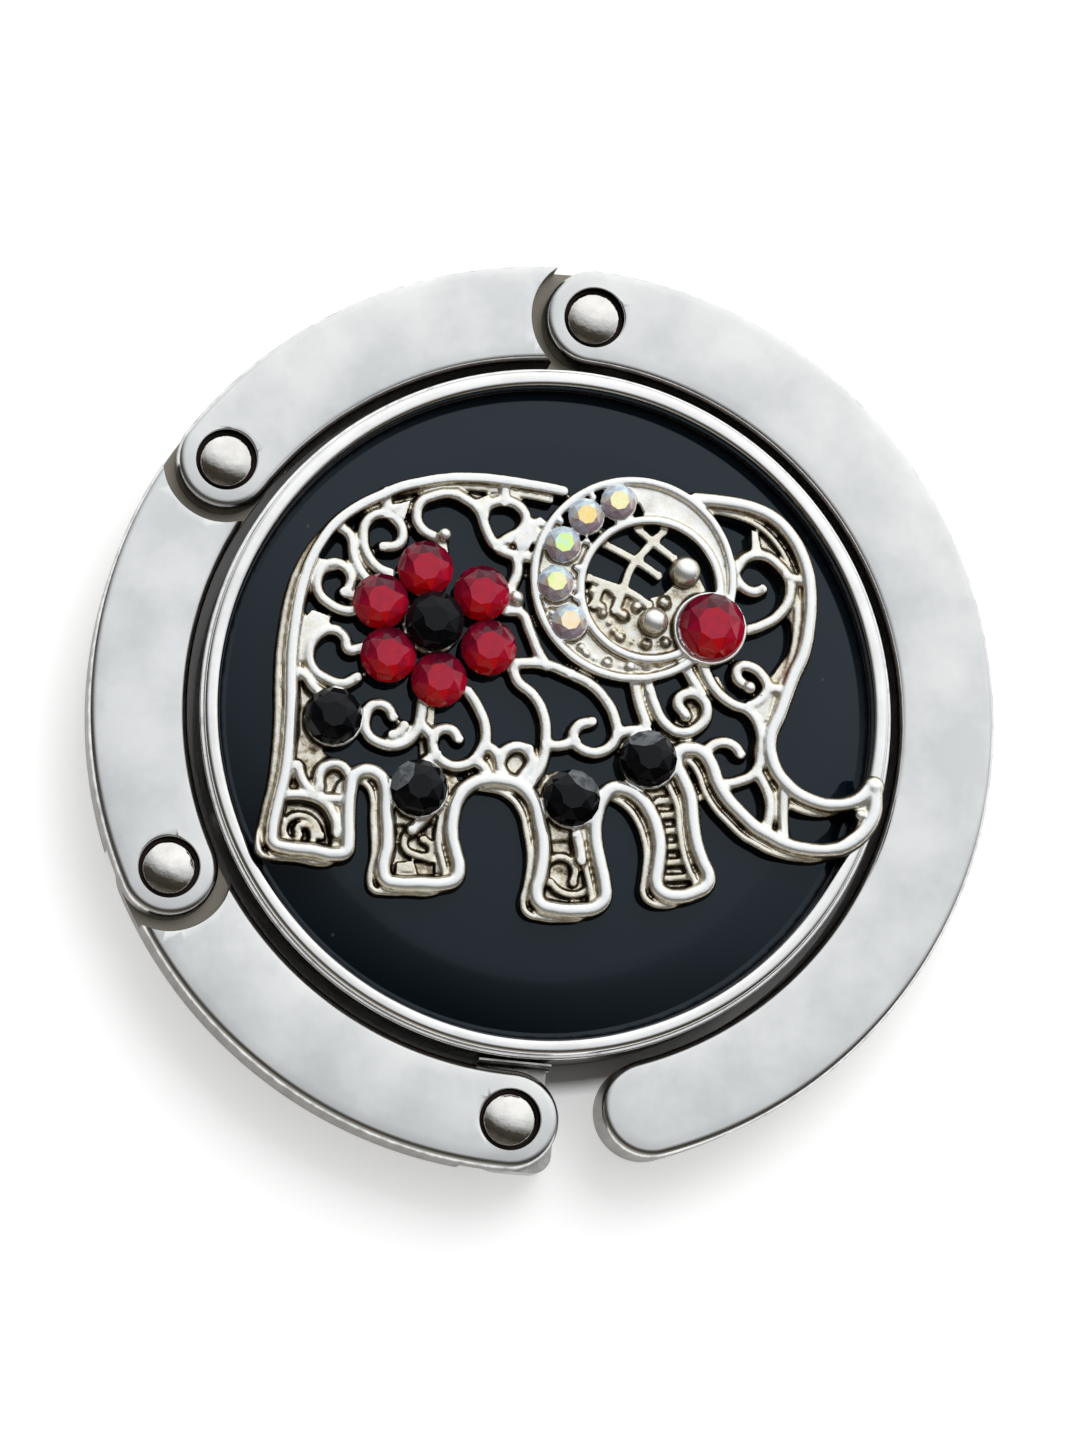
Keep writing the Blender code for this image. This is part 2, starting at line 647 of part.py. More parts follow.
def ring_path(ring):
    return arc(ring[:2], ring[2], 0, 360, ear_steps)


def holds(shape, spot):
    """Whether a flat shape holds a point: its sides are crossed an odd number of times."""
    inside = False
    for start, end in zip(shape, shape[1:] + shape[:1]):
        if (start.y > spot.y) != (end.y > spot.y):
            reach = (spot.y - start.y) / (end.y - start.y)
            if spot.x < start.x + reach * (end.x - start.x):
                inside = not inside
    return inside


def fill_shapes(spots, edges, polygons, shapes):
    """Triangulate flat outlines, keeping the triangles that lie in any of the shapes."""
    verts, _, tris, _, _, _ = delaunay_2d_cdt(spots, edges, polygons, 0, merge_distance / px, False)
    bm = bmesh.new()
    corners = [bm.verts.new((spot.x, spot.y, 0.0)) for spot in verts]
    for tri in tris:
        middle = sum((verts[index] for index in tri), Vector((0.0, 0.0))) / len(tri)
        if any(low < middle.x < high and holds(shape, middle) for low, high, shape in shapes):
            bm.faces.new([corners[index] for index in tri])
    loose = [vert for vert in bm.verts if not vert.link_faces]
    bmesh.ops.delete(bm, geom=loose, context="VERTS")
    return bm


def plate(name, faces, points, bottom, top):
    """Merge overlapping flat shapes into one outline with its holes, and stand it up."""
    flat = [spot / px for spot in points]
    shapes = []
    for face in faces:
        shape = [flat[index] for index in face]
        shapes.append((min(spot.x for spot in shape), max(spot.x for spot in shape), shape))
    merged = fill_shapes(flat, [], faces, shapes)
    bmesh.ops.dissolve_limit(merged, angle_limit=math.radians(flat_degrees), verts=merged.verts[:],
                             use_dissolve_boundaries=False, edges=merged.edges[:])
    rims = [edge for edge in merged.edges if edge.is_boundary]
    rim_verts = sorted({vert for edge in rims for vert in edge.verts}, key=lambda vert: vert.index)
    numbers = {vert: number for number, vert in enumerate(rim_verts)}
    bm = fill_shapes([vert.co.xy for vert in rim_verts],
                     [tuple(numbers[vert] for vert in edge.verts) for edge in rims], [], shapes)
    merged.free()
    bm.transform(Matrix.Diagonal((px, px, 1.0, 1.0)))
    bmesh.ops.translate(bm, verts=bm.verts[:], vec=(0, 0, bottom))
    raised = bmesh.ops.extrude_face_region(bm, geom=bm.faces[:])["geom"]
    lifted = [part for part in raised if isinstance(part, bmesh.types.BMVert)]
    bmesh.ops.translate(bm, verts=lifted, vec=(0, 0, top - bottom))
    bmesh.ops.triangulate(bm, faces=bm.faces[:])
    return mesh_from(bm, name)


def make_elephant(inlay):
    faces = []
    points = []
    for path in outline_paths_px.values():
        strip_faces(path, outline_wire_px, faces, points)
    for path in list(curl_paths_px.values()) + list(ear_paths_px.values()):
        strip_faces(path, curl_wire_px, faces, points)
    for ring in (ear_outer_px, ear_inner_px):
        strip_faces(ring_path(ring), curl_wire_px, faces, points)
    for height in rungs_px:
        strip_faces([(rung_left_px, height), (rung_right_px, height)], curl_wire_px, faces,
                    points)
    for places, radius in ((petal_places_px, petal_radius_px), ([cheek_place_px], cheek_radius_px),
                           (ear_stone_places(), ear_stone_radius_px),
                           (black_stone_places_px, black_stone_radius_px)):
        for spot in places:
            add_disc(spot, radius + seat_rim_px, stone_steps, faces, points)
    add_disc(flower_centre_px, flower_seat_radius_px, stone_steps, faces, points)
    for x, y, radius in silver_bead_px:
        add_disc((x, y), radius + seat_rim_px, stone_steps, faces, points)
    for outline in floor_areas_px.values():
        add_polygon([ornament_point(spot) for spot in outline], faces, points)
    outer = ring_path(ear_outer_px)
    inner = ring_path(ear_inner_px)
    for index in range(ear_steps):
        add_polygon([ornament_point(spot) for spot in (outer[index], outer[index + 1],
                                                       inner[index + 1], inner[index])],
                    faces, points)
    mesh = plate("elephant_plate", faces, points, ornament_bottom_z, ornament_top_z)
    elephant = add_object("elephant_plate", mesh, antique_silver, parent=inlay)
    cut(elephant, "raised_parts", raised_parts(), operation="UNION")
    return elephant


def raised_parts():
    """The boss under the middle stone and the silver beads, as one mesh of loose solids."""
    low = (ornament_bottom_z + ornament_top_z) / 2
    seat = ornament_top_z + flower_boss_height
    boss = flower_boss_radius_px * px
    shapes = [(flower_centre_px, [(0, low), (boss, low), (boss, seat), (0, seat)])]
    for x, y, radius in silver_bead_px:
        ball = radius * px
        shapes.append(((x, y), [(0, low), (ball, low),
                                (ball, ornament_top_z + ball * bead_side_share),
                                (ball * bead_shoulder_share,
                                 ornament_top_z + ball * bead_shoulder_rise_share),
                                (0, ornament_top_z + ball * bead_rise_share)]))
    joined = bmesh.new()
    for spot, profile in shapes:
        solid = turned("raised", profile, bead_steps)
        x, y = ornament_point(spot)
        solid.transform(Matrix.Translation((x, y, 0.0)))
        joined.from_mesh(solid)
    return mesh_from(joined, "raised_parts")


# Stones
def make_stone(name, spot, radius_px, height, seat_z, material, parent):
    radius = radius_px * px
    girdle = height * stone_girdle_share
    profile = [(0, 0), (radius, 0), (radius, girdle),
               (radius * stone_shoulder_radius_share, height * stone_shoulder_height_share),
               (radius * stone_table_share, height), (0, height)]
    place = (*ornament_point(spot), seat_z + glue_line)
    return add_object(name, turned(name, profile, stone_steps), material, place, parent)


def make_stones(elephant):
    for number, spot in enumerate(petal_places_px, 1):
        make_stone(f"red_petal_{number}", spot, petal_radius_px, petal_height, ornament_top_z,
                   red_glass, elephant)
    make_stone("flower_centre_stone", flower_centre_px, flower_centre_radius_px,
               flower_centre_height, ornament_top_z + flower_boss_height, black_glass, elephant)
    make_stone("cheek_stone", cheek_place_px, cheek_radius_px, cheek_height, ornament_top_z,
               red_glass, elephant)
    for number, spot in enumerate(ear_stone_places(), 1):
        make_stone(f"ear_stone_{number}", spot, ear_stone_radius_px, ear_stone_height,
                   ornament_top_z, aurora_glass, elephant)
    for number, spot in enumerate(black_stone_places_px, 1):
        make_stone(f"black_stone_{number}", spot, black_stone_radius_px, black_stone_height,
                   ornament_top_z, black_glass, elephant)


# Assembly
def make_all():
    disc = make_disc()
    inlay = make_inlay(disc)
    make_pad(disc)
    elephant = make_elephant(inlay)
    make_stones(elephant)
    swivel = add_object("swivel_axis", None, None, (0, 0, swivel_axis_z), disc)
    lug = make_lug(swivel)
    make_collar(swivel)
    make_washer(swivel)
    make_rivet("rivet_1", lug_rivet_angle, lug)
    link_a = make_link("link_a", lug_rivet_angle, rivet_ab_angle, lug)
    make_rivet("rivet_2", rivet_ab_angle, link_a)
    link_b = make_link("link_b", rivet_ab_angle, rivet_bc_angle, link_a)
    make_rivet("rivet_3", rivet_bc_angle, link_b)
    link_c = make_link("link_c", rivet_bc_angle, rivet_hook_angle, link_b)
    make_rivet("rivet_4", rivet_hook_angle, link_c)
    make_link("hook_arm", rivet_hook_angle, hook_tip_angle, link_c, last_is_lap=False)


for old in list(bpy.data.objects):
    bpy.data.objects.remove(old, do_unlink=True)

plated_zinc = make_material("plated_zinc", (0.72, 0.72, 0.71), 0.3, 1.0)
antique_silver = make_material("antique_silver", (0.78, 0.77, 0.74), 0.35, 1.0)
rivet_steel = make_material("rivet_steel", (0.66, 0.65, 0.63), 0.22, 1.0)
black_enamel = make_material("black_enamel", (0.012, 0.013, 0.018), 0.08, 0.0)
black_rubber = make_material("black_rubber", (0.03, 0.03, 0.03), 0.75, 0.0)
red_glass = make_material("red_glass", (0.5, 0.005, 0.012), 0.08, 0.0)
black_glass = make_material("black_glass", (0.01, 0.01, 0.014), 0.06, 0.0)
aurora_glass = make_material("aurora_glass", (0.75, 0.72, 0.55), 0.1, 0.2)

make_all()
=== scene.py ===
"""Looks of a folding handbag hook: a domed black disc with a jewelled elephant, ringed by four
riveted links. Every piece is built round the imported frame, in metres, +Z up.
"""
import json
import math

import bmesh
import bpy
from mathutils import Matrix, Vector


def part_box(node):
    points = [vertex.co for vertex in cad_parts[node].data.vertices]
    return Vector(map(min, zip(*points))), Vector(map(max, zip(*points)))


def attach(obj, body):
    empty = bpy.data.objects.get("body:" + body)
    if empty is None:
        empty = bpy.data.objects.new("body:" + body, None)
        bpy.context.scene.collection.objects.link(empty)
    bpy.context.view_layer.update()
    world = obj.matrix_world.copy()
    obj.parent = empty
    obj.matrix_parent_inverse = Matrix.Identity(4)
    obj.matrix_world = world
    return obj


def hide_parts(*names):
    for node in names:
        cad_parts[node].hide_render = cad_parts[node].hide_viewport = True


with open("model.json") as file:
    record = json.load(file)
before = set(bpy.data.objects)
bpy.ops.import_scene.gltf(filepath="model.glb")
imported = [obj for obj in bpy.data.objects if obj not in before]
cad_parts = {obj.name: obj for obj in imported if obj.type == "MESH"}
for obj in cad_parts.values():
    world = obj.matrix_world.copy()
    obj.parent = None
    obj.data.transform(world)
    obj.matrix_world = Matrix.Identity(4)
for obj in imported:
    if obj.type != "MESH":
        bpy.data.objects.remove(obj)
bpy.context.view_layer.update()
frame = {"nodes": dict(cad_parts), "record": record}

MM = 0.001
up = Vector((0.0, 0.0, 1.0))

# Ring of links: its plan sizes as the frame has them, its heights read from the frame
ring_outer_radius = 22.5 * MM
link_width = 4.85 * MM
ring_radius = ring_outer_radius - link_width / 2
shoulder_gap = 0.7 * MM
link_edge_round = 0.42 * MM
link_crown = 0.05 * MM
lap_clearance = 0.06 * MM
hole_rim_round = 0.12 * MM
shoulder_rim_round = 0.1 * MM
head_gap = 0.2 * MM
head_sink = 0.85 * MM
running_clearance = 0.05 * MM
rivet_shank_radius = 0.95 * MM
tail_radius = 1.25 * MM
tail_height = 0.5 * MM
link_bottom_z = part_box("link_a")[0].z
link_top_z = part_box("link_a")[1].z
lap_plane_z = (link_bottom_z + link_top_z) / 2
hook_tip_angle = -75.0

# Lug between the disc and the first link, and the pocket for its shank in the disc
lug_neck_width = 3.56 * MM
lug_neck_depth = 0.28 * MM
lug_neck_steps = 3
lug_neck_drop = 0.35 * MM
lug_disc_gap = 0.1 * MM
lug_tongue_inset = 0.04 * MM
lug_corner_round = 0.9 * MM
shank_radius = 0.95 * MM
pocket_roof_gap = 0.15 * MM
pocket_side_gap = 0.2 * MM
pocket_end_gap = 0.45 * MM
pocket_wall = 2.8 * MM

# Rivets
rivet_rim_height = 0.58 * MM
rivet_dome_height = 0.37 * MM

# Disc with its bezel, inlay and pad
bezel_width = 0.97 * MM
bezel_ledge_width = 0.17 * MM
bezel_ledge_drop = 0.55 * MM
bezel_round = 0.3 * MM
ledge_round = 0.08 * MM
disc_bottom_bevel = 0.4 * MM
inlay_edge_height = 0.44 * MM
inlay_top_drop = 0.12 * MM
glue_line = 0.04 * MM
pad_side_gap = 0.1 * MM
pad_edge_round = 0.2 * MM
disc_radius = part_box("disc_cup")[1].x
disc_bottom_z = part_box("disc_cup")[0].z
disc_top_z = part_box("disc_cup")[1].z
pad_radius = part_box("table_pad")[1].x
pad_top_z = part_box("table_pad")[1].z
inlay_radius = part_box("enamel_inlay")[1].x
inlay_bottom_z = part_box("enamel_inlay")[0].z
inlay_edge_z = inlay_bottom_z + inlay_edge_height
inlay_top_z = disc_top_z - inlay_top_drop
inlay_fullness = 3.0
inlay_rim_width = 2.9 * MM
inlay_rim_drop = 0.4 * MM
inlay_rim_fullness = 1.25
inlay_rim_steps = 14
inlay_rings = 28

# Elephant: drawn in pixels of the photograph, placed by the frame's solid
ornament_width_px = 628.0
ornament_margin = 1.67 * MM
px = (2 * inlay_radius - ornament_margin) / ornament_width_px
ornament_origin_px = (548.0, 708.0)
ornament_shift_x = -0.2 * MM
bezel_clear_start = 0.6 * MM
bezel_clear_width = 0.4 * MM
plate_bottom_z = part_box("elephant_plate")[0].z
plate_top_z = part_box("red_petal_1")[0].z - glue_line
plate_px = (plate_top_z - plate_bottom_z) / px
boss_px = (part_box("flower_centre_stone")[0].z - glue_line - plate_bottom_z) / px
voxel_px = 1.6
elephant_triangles = 190000

# Heights, shifts and radii of the casting's parts, in the same pixels
curl_top_px = 17.6
skirt_top_px = 15.0
skirt_shift_px = (-13.0, 9.0)
lattice_top_px = 14.5
relief_top_px = 13.0
crescent_floor_px = 14.5
ear_floor_px = 10.5
bead_sink_px = 2.5
bead_radius_px = 5.0
bead_swing_px = 1.6
bead_stray_px = 3.0
ball_neck_share = 0.8
prong_foot_px = 4.5
prong_head_px = 3.5
seat_shift_px = (1.0, 1.2)
seat_foot_px = 1.0
seat_head_px = 0.4
cup_shift_px = (-1.5, 2.0)
cup_margin_px = 2.0
boss_foot_px = 6.0
foot_floor_px = 6.0
web_floor_px = 9.0
cup_rise_px = 2.0

# How deep the polish and the rubbing reach, where the dull walls with their painted shade begin and how
# far it goes down, and how far the painted shade in the recesses goes
link_polish_and_shade_depth = 0.2 * MM
ledge_polish_and_shade_depth = 0.02 * MM
unpolished_shade_depth = 0.25 * MM
rubbed_depth = 0.03 * MM
sink_shade_margin = 0.05 * MM
pocket_shade_margin = 0.03 * MM
streak_darkness = 0.7
wall_roughness_rise = 0.16

# How finely round things are divided
turn_steps = 192
rivet_steps = 64
dome_steps = 14
hole_steps = 72
shank_steps = 48
bore_steps = 32
link_step_degrees = 1.25
merge_distance = 0.0005 * MM


# Mesh helpers
def finished(bm, name, smooth_degrees=35.0):
    bmesh.ops.remove_doubles(bm, verts=bm.verts[:], dist=merge_distance)
    bmesh.ops.recalc_face_normals(bm, faces=bm.faces[:])
    mesh = bpy.data.meshes.new(name)
    bm.to_mesh(mesh)
    bm.free()
    mesh.shade_smooth()
    mesh.set_sharp_from_angle(angle=math.radians(smooth_degrees))
    return mesh


def on_circle(radius, degrees, centre=(0.0, 0.0)):
    turn = math.radians(degrees)
    return centre[0] + radius * math.cos(turn), centre[1] + radius * math.sin(turn)


def toward(degrees):
    """One unit out from the ring's middle at an angle."""
    return Vector((*on_circle(1.0, degrees), 0.0))


def arc(centre, radius, first, last, steps):
    return [on_circle(radius, first + (last - first) * step / steps, centre)
            for step in range(steps + 1)]


def spin_chain(bm, places, centre, axis, angle, steps, closed=False, merged=False):
    """Sweep a chain of places round an axis."""
    verts = [bm.verts.new(place) for place in places]
    edges = [bm.edges.new(pair) for pair in zip(verts, verts[1:])]
    if closed:
        edges.append(bm.edges.new((verts[-1], verts[0])))
    bmesh.ops.spin(bm, geom=verts + edges, cent=centre, axis=axis, angle=angle, steps=steps,
                   use_merge=merged)


def turned(name, profile, steps, at=(0.0, 0.0, 0.0), axis=(0.0, 0.0, 1.0), start=(1.0, 0.0, 0.0)):
    """Spin a chain of (radius, height) points round an axis through a place."""
    bm = bmesh.new()
    along = Vector(axis)
    out = Vector(start)
    centre = Vector(at)
    places = [centre + out * radius + along * height for radius, height in profile]
    hollow = profile[0][0] > 0 and profile[-1][0] > 0
    spin_chain(bm, places, centre, along, math.tau, steps, closed=hollow, merged=True)
    return finished(bm, name)


def stand_up(bm, corners, bottom, top):
    """Stand a flat outline up between two heights."""
    face = bm.faces.new([bm.verts.new((x, y, bottom)) for x, y in corners])
    raised = bmesh.ops.extrude_face_region(bm, geom=[face])["geom"]
    lifted = [part for part in raised if isinstance(part, bmesh.types.BMVert)]
    bmesh.ops.translate(bm, verts=lifted, vec=(0, 0, top - bottom))


def block(name, corners, bottom, top):
    bm = bmesh.new()
    stand_up(bm, corners, bottom, top)
    return finished(bm, name)


def modify(piece, kind, **settings):
    made = piece.modifiers.new(kind, kind)
    for key, value in settings.items():
        setattr(made, key, value)


def evaluated(piece, *spent):
    """The mesh of an object with its modifiers applied; objects that are spent then go."""
    bpy.context.view_layer.update()
    graph = bpy.context.evaluated_depsgraph_get()
    mesh = bpy.data.meshes.new_from_object(piece.evaluated_get(graph))
    for scratch in spent:
        bpy.data.objects.remove(scratch)
    return mesh


def put_in_scene(data):
    """Make an object of a mesh, curve, lamp or camera, under the same name."""
    made = bpy.data.objects.new(data.name, data)
    bpy.context.scene.collection.objects.link(made)
    return made


def carved(mesh, *cutters, operation="DIFFERENCE"):
    """Cut a mesh by others, one after another."""
    body = put_in_scene(mesh)
    tools = [put_in_scene(cutter) for cutter in cutters]
    for tool in tools:
        modify(body, "BOOLEAN", operation=operation, object=tool, solver="MANIFOLD")
    bm = bmesh.new()
    bm.from_mesh(evaluated(body, body, *tools))
    bmesh.ops.dissolve_degenerate(bm, dist=2 * merge_distance, edges=bm.edges[:])
    shaded = put_in_scene(finished(bm, mesh.name))
    modify(shaded, "WEIGHTED_NORMAL", keep_sharp=True)
    return evaluated(shaded, shaded)


def middle_of(node):
    low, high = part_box(node)
    return (low.x + high.x) / 2, (low.y + high.y) / 2


def half_width(node):
    low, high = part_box(node)
    return (high.x - low.x) / 2


bodies_of_nodes = {node: body for body, nodes in frame["record"]["behaviour"]["bodies"].items()
                   for node in nodes}


def add_piece(name, mesh, material, slot, *nodes):
    """Put a finished mesh in the scene in place of its nodes, riding on their body."""
    mesh.materials.clear()
    mesh.materials.append(material)
    piece = put_in_scene(mesh)
    piece.name = name
    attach(piece, bodies_of_nodes[nodes[0]])
    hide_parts(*nodes)


# Shader helpers
def feed(tree, socket, value):
    """Link another socket into this one, or give it a plain value."""
    if isinstance(value, bpy.types.NodeSocket):
        tree.links.new(value, socket)
    else:
        socket.default_value = value


def add_node(tree, kind, inputs=(), **settings):
    """Add a shader node; inputs pair a socket's name or number with a value or another socket."""
    made = tree.nodes.new(kind)
    for key, value in settings.items():
        setattr(made, key, value)
    for socket, value in inputs:
        feed(tree, made.inputs[socket], value)
    return made


def object_place(tree):
    return add_node(tree, "ShaderNodeTexCoord").outputs["Object"]


def noise(tree, scale, detail=2.0, roughness=0.5, place=None):
    if place is None:
        place = object_place(tree)
    return add_node(tree, "ShaderNodeTexNoise", [("Vector", place), ("Scale", scale), ("Detail", detail),
                                                 ("Roughness", roughness)]).outputs["Fac"]


def height_of(tree, place):
    return add_node(tree, "ShaderNodeSeparateXYZ", [("Vector", place)]).outputs["Z"]


def worked_out(tree, operation, first, second, third=0.0, clamp=False):
    return add_node(tree, "ShaderNodeMath", [(0, first), (1, second), (2, third)],
                    operation=operation, use_clamp=clamp).outputs[0]


def bumped(tree, height, distance, strength=1.0, normal=None):
    """The normal of a skin that follows a height, over another normal if one is given."""
    inputs = [("Height", height), ("Distance", distance), ("Strength", strength)]
    if normal is not None:
        inputs.append(("Normal", normal))
    return add_node(tree, "ShaderNodeBump", inputs).outputs["Normal"]


def spread(tree, value, low, high, to_low=0.0, to_high=1.0):
    """Stretch a value from one range to another, held at both ends."""
    inputs = [("Value", value), ("From Min", low), ("From Max", high), ("To Min", to_low),
              ("To Max", to_high)]
    return add_node(tree, "ShaderNodeMapRange", inputs).outputs["Result"]


def blend_colors(tree, share, *colors):
    """Mix two colours, each a plain triple or a socket, by a share from 0 to 1."""
    first, second = (color if isinstance(color, bpy.types.NodeSocket) else (*color, 1.0)
                     for color in colors)
    return add_node(tree, "ShaderNodeMix", [(0, share), (6, first), (7, second)],
                    data_type="RGBA").outputs[2]


def color_steps(tree, share, steps):
    """Run a share through a row of (place, colour) steps."""
    ramp = add_node(tree, "ShaderNodeValToRGB", [("Fac", share)])
    stops = ramp.color_ramp.elements
    while len(stops) < len(steps):
        stops.new(1.0)
    for stop, (place, color) in zip(stops, steps):
        stop.position = place
        stop.color = (*color, 1.0)
    return ramp.outputs["Color"]


def color_steps_over(tree, share, color, steps):
    """Lay colours over another one, each taking over at its own share."""
    before = 0.0
    for place, laid in steps:
        color = blend_colors(tree, spread(tree, share, before, place), color, laid)
        before = place
    return color


def new_material(name):
    material = bpy.data.materials.new(name)
    material.use_nodes = True
    return material, material.node_tree, material.node_tree.nodes["Principled BSDF"]


def wire_up(tree, shader, **sources):
    for name, value in sources.items():
        feed(tree, shader.inputs[name.replace("_", " ")], value)


# Groups that several finishes share
def make_polish_group():
    """Cast, polished and plated metal: faint clouds in its tone, soft waves and a fine grain."""
    group = bpy.data.node_groups.new("plated polish", "ShaderNodeTree")
    inputs = [("Color", "Light Tone"), ("Color", "Dull Tone"), ("Float", "Cloud Scale"),
              ("Float", "Smooth"), ("Float", "Rough"), ("Float", "Wave Height"),
              ("Float", "Grain Height")]
    outputs = [("Color", "Color"), ("Float", "Roughness"), ("Vector", "Normal")]
    for way, sockets in (("INPUT", inputs), ("OUTPUT", outputs)):
        for kind, name in sockets:
            group.interface.new_socket(name, in_out=way, socket_type="NodeSocket" + kind)
    given = add_node(group, "NodeGroupInput").outputs
    clouds = noise(group, given["Cloud Scale"], 4.0, 0.55)
    grain = noise(group, 9000.0, 2.0, 0.6)
    share = spread(group, clouds, 0.36, 0.64)
    tone = blend_colors(group, share, given["Dull Tone"], given["Light Tone"])
    rough = spread(group, share, 0.0, 1.0, given["Rough"], given["Smooth"])
    waves = bumped(group, clouds, given["Wave Height"])
    fine = bumped(group, grain, given["Grain Height"], normal=waves)
    add_node(group, "NodeGroupOutput", [("Color", tone), ("Roughness", rough), ("Normal", fine)])
    return group


def unpolished_shade_share(tree, polish_and_shade_z):
    """How far a spot lies down a wall that the polishing wheel did not reach, with streaks; there the
    metal is rougher and its colour takes painted shade.
    """
    place = object_place(tree)
    drawn = add_node(tree, "ShaderNodeMapping", [("Vector", place), ("Scale", (1.0, 1.0, 0.12))])
    streak = noise(tree, 1800.0, 3.0, place=drawn.outputs["Vector"])
    ragged = spread(tree, streak, 0.3, 0.7, -unpolished_shade_depth * 0.3, unpolished_shade_depth * 0.3)
    height = worked_out(tree, "ADD", height_of(tree, place), ragged)
    return spread(tree, height, polish_and_shade_z, polish_and_shade_z - unpolished_shade_depth), streak


def plated_metal(name, light, dull, cloud_scale, smooth, rough, wave_height, grain_height,
                 polish_and_shade_z=None, wall=None):
    """Plated metal, rougher down its walls from a height on and darker there, the darkening partly
    duller metal and partly painted shade, with painted shade in its recesses.
    """
    material, tree, shader = new_material(name)
    finish = add_node(tree, "ShaderNodeGroup", node_tree=polish_group)
    given = ((*light, 1.0), (*dull, 1.0), cloud_scale, smooth, rough, wave_height, grain_height)
    for socket, value in zip(finish.inputs, given):
        socket.default_value = value
    color = finish.outputs["Color"]
    roughness = finish.outputs["Roughness"]
    if polish_and_shade_z is not None:
        # Darker down the walls: painted shade, with real streaks through it.
        share, streak = unpolished_shade_share(tree, polish_and_shade_z)
        dark = tuple(part * streak_darkness for part in wall)
        shaded_wall_tone = blend_colors(tree, spread(tree, streak, 0.35, 0.65), dark, wall)
        color = blend_colors(tree, share, color, shaded_wall_tone)
        roughness = worked_out(tree, "MULTIPLY_ADD", share, wall_roughness_rise, roughness)
        # Painted shade in the recesses: olive-grey in the lap's pocket, near-black in the rivet's sink.
        recess_shade = add_node(tree, "ShaderNodeAttribute", attribute_name="recess_shade").outputs["Fac"]
        color = color_steps_over(tree, recess_shade, color, [(0.5, (0.3, 0.275, 0.23)),
                                                       (1.0, (0.035, 0.026, 0.022))])
    wire_up(tree, shader, Base_Color=color, Metallic=1.0, Roughness=roughness,
            Normal=finish.outputs["Normal"])
    return material


def make_antique_silver():
    """Bright on up-facing tops, as wear and painted light; darker low down between the wires, as patina
    and painted shade; blotched cream and brown there.
    """
    material, tree, shader = new_material("antique silver")
    stain = noise(tree, 1700.0, 4.0, 0.62)
    pits = noise(tree, 3600.0, 3.0, 0.6)
    height = height_of(tree, object_place(tree))
    rise = spread(tree, height, plate_bottom_z, plate_top_z - rubbed_depth)
    # Darker low down between the wires: patina and painted shade.
    level = spread(tree, worked_out(tree, "POWER", rise, 2.2), 0.0, 1.0, -0.14, 0.4)
    # Lighter where the skin faces up: wear and painted light from above, with painted shade down the
    # sides.
    facing_up = height_of(tree, add_node(tree, "ShaderNodeTexCoord").outputs["Normal"])
    rubbed_and_top_lit = spread(tree, facing_up, 0.35, 0.97, 0.0, 0.62)
    sheltered = spread(tree, rise, 0.42, 0.56, 0.34, 0.11)
    swing = spread(tree, stain, 0.32, 0.66, -0.85, 1.15)
    worn_and_lit = worked_out(tree, "ADD", level, rubbed_and_top_lit)
    share = worked_out(tree, "ADD", worn_and_lit, worked_out(tree, "MULTIPLY", swing, sheltered), clamp=True)
    color = color_steps(tree, share, [(0.0, (0.015, 0.011, 0.009)), (0.2, (0.08, 0.058, 0.038)),
                                      (0.4, (0.4, 0.33, 0.22)), (0.6, (0.8, 0.74, 0.6)),
                                      (0.8, (0.88, 0.87, 0.8)), (0.97, (0.93, 0.945, 0.94))])
    depth = spread(tree, share, 0.5, 0.95, 1.0, 0.22)
    wire_up(tree, shader, Base_Color=color, Metallic=spread(tree, share, 0.5, 0.95, 0.9, 0.72),
            Roughness=spread(tree, share, 0.2, 0.9, 0.42, 0.14),
            Normal=bumped(tree, pits, 0.03 * MM, depth))
    return material


def make_enamel():
    """Deep blue-black gloss with a faint swell in it and a few specks of dust."""
    material, tree, shader = new_material("poured black enamel")
    depth = noise(tree, 120.0, 1.0)
    specks = add_node(tree, "ShaderNodeTexVoronoi", [("Vector", object_place(tree)),
                                                     ("Scale", 420.0), ("Randomness", 1.0)])
    dust = spread(tree, specks.outputs["Distance"], 0.03, 0.045, 1.0, 0.0)
    body = blend_colors(tree, depth, (0.0016, 0.004, 0.0068), (0.0026, 0.0058, 0.0095))
    wire_up(tree, shader, Base_Color=blend_colors(tree, dust, body, (0.03, 0.033, 0.036)),
            Metallic=0.0, Roughness=spread(tree, depth, 0.0, 1.0, 0.02, 0.05), IOR=1.46,
            Normal=bumped(tree, depth, 0.02 * MM), Specular_IOR_Level=0.5,
            Specular_Tint=(0.74, 0.88, 1.0, 1.0))
    return material


def make_rubber():
    material, tree, shader = new_material("black rubber")
    wear = noise(tree, 260.0, 4.0, 0.6)
    color = blend_colors(tree, wear, (0.018, 0.018, 0.019), (0.045, 0.044, 0.042))
    wire_up(tree, shader, Base_Color=color, Metallic=0.0,
            Roughness=spread(tree, wear, 0.3, 0.7, 0.62, 0.82),
            Normal=bumped(tree, noise(tree, 4000.0, 3.0, 0.7), 0.02 * MM))
    return material


def cut_glass(name, steps, refraction, gloss=0.5):
    """Foil-backed glass: each facet carries its own share of the light thrown back by the foil."""
    material, tree, shader = new_material(name)
    share = add_node(tree, "ShaderNodeAttribute", attribute_name="facet_light").outputs["Fac"]
    streak = noise(tree, 2600.0, 1.0)
    flicker = spread(tree, streak, 0.3, 0.7, -0.06, 0.06)
    moved = worked_out(tree, "ADD", share, flicker, clamp=True)
    wire_up(tree, shader, Base_Color=color_steps(tree, moved, steps), Metallic=0.0,
            Roughness=spread(tree, streak, 0.3, 0.7, 0.03, 0.08), IOR=refraction,
            Specular_IOR_Level=gloss)
    return material


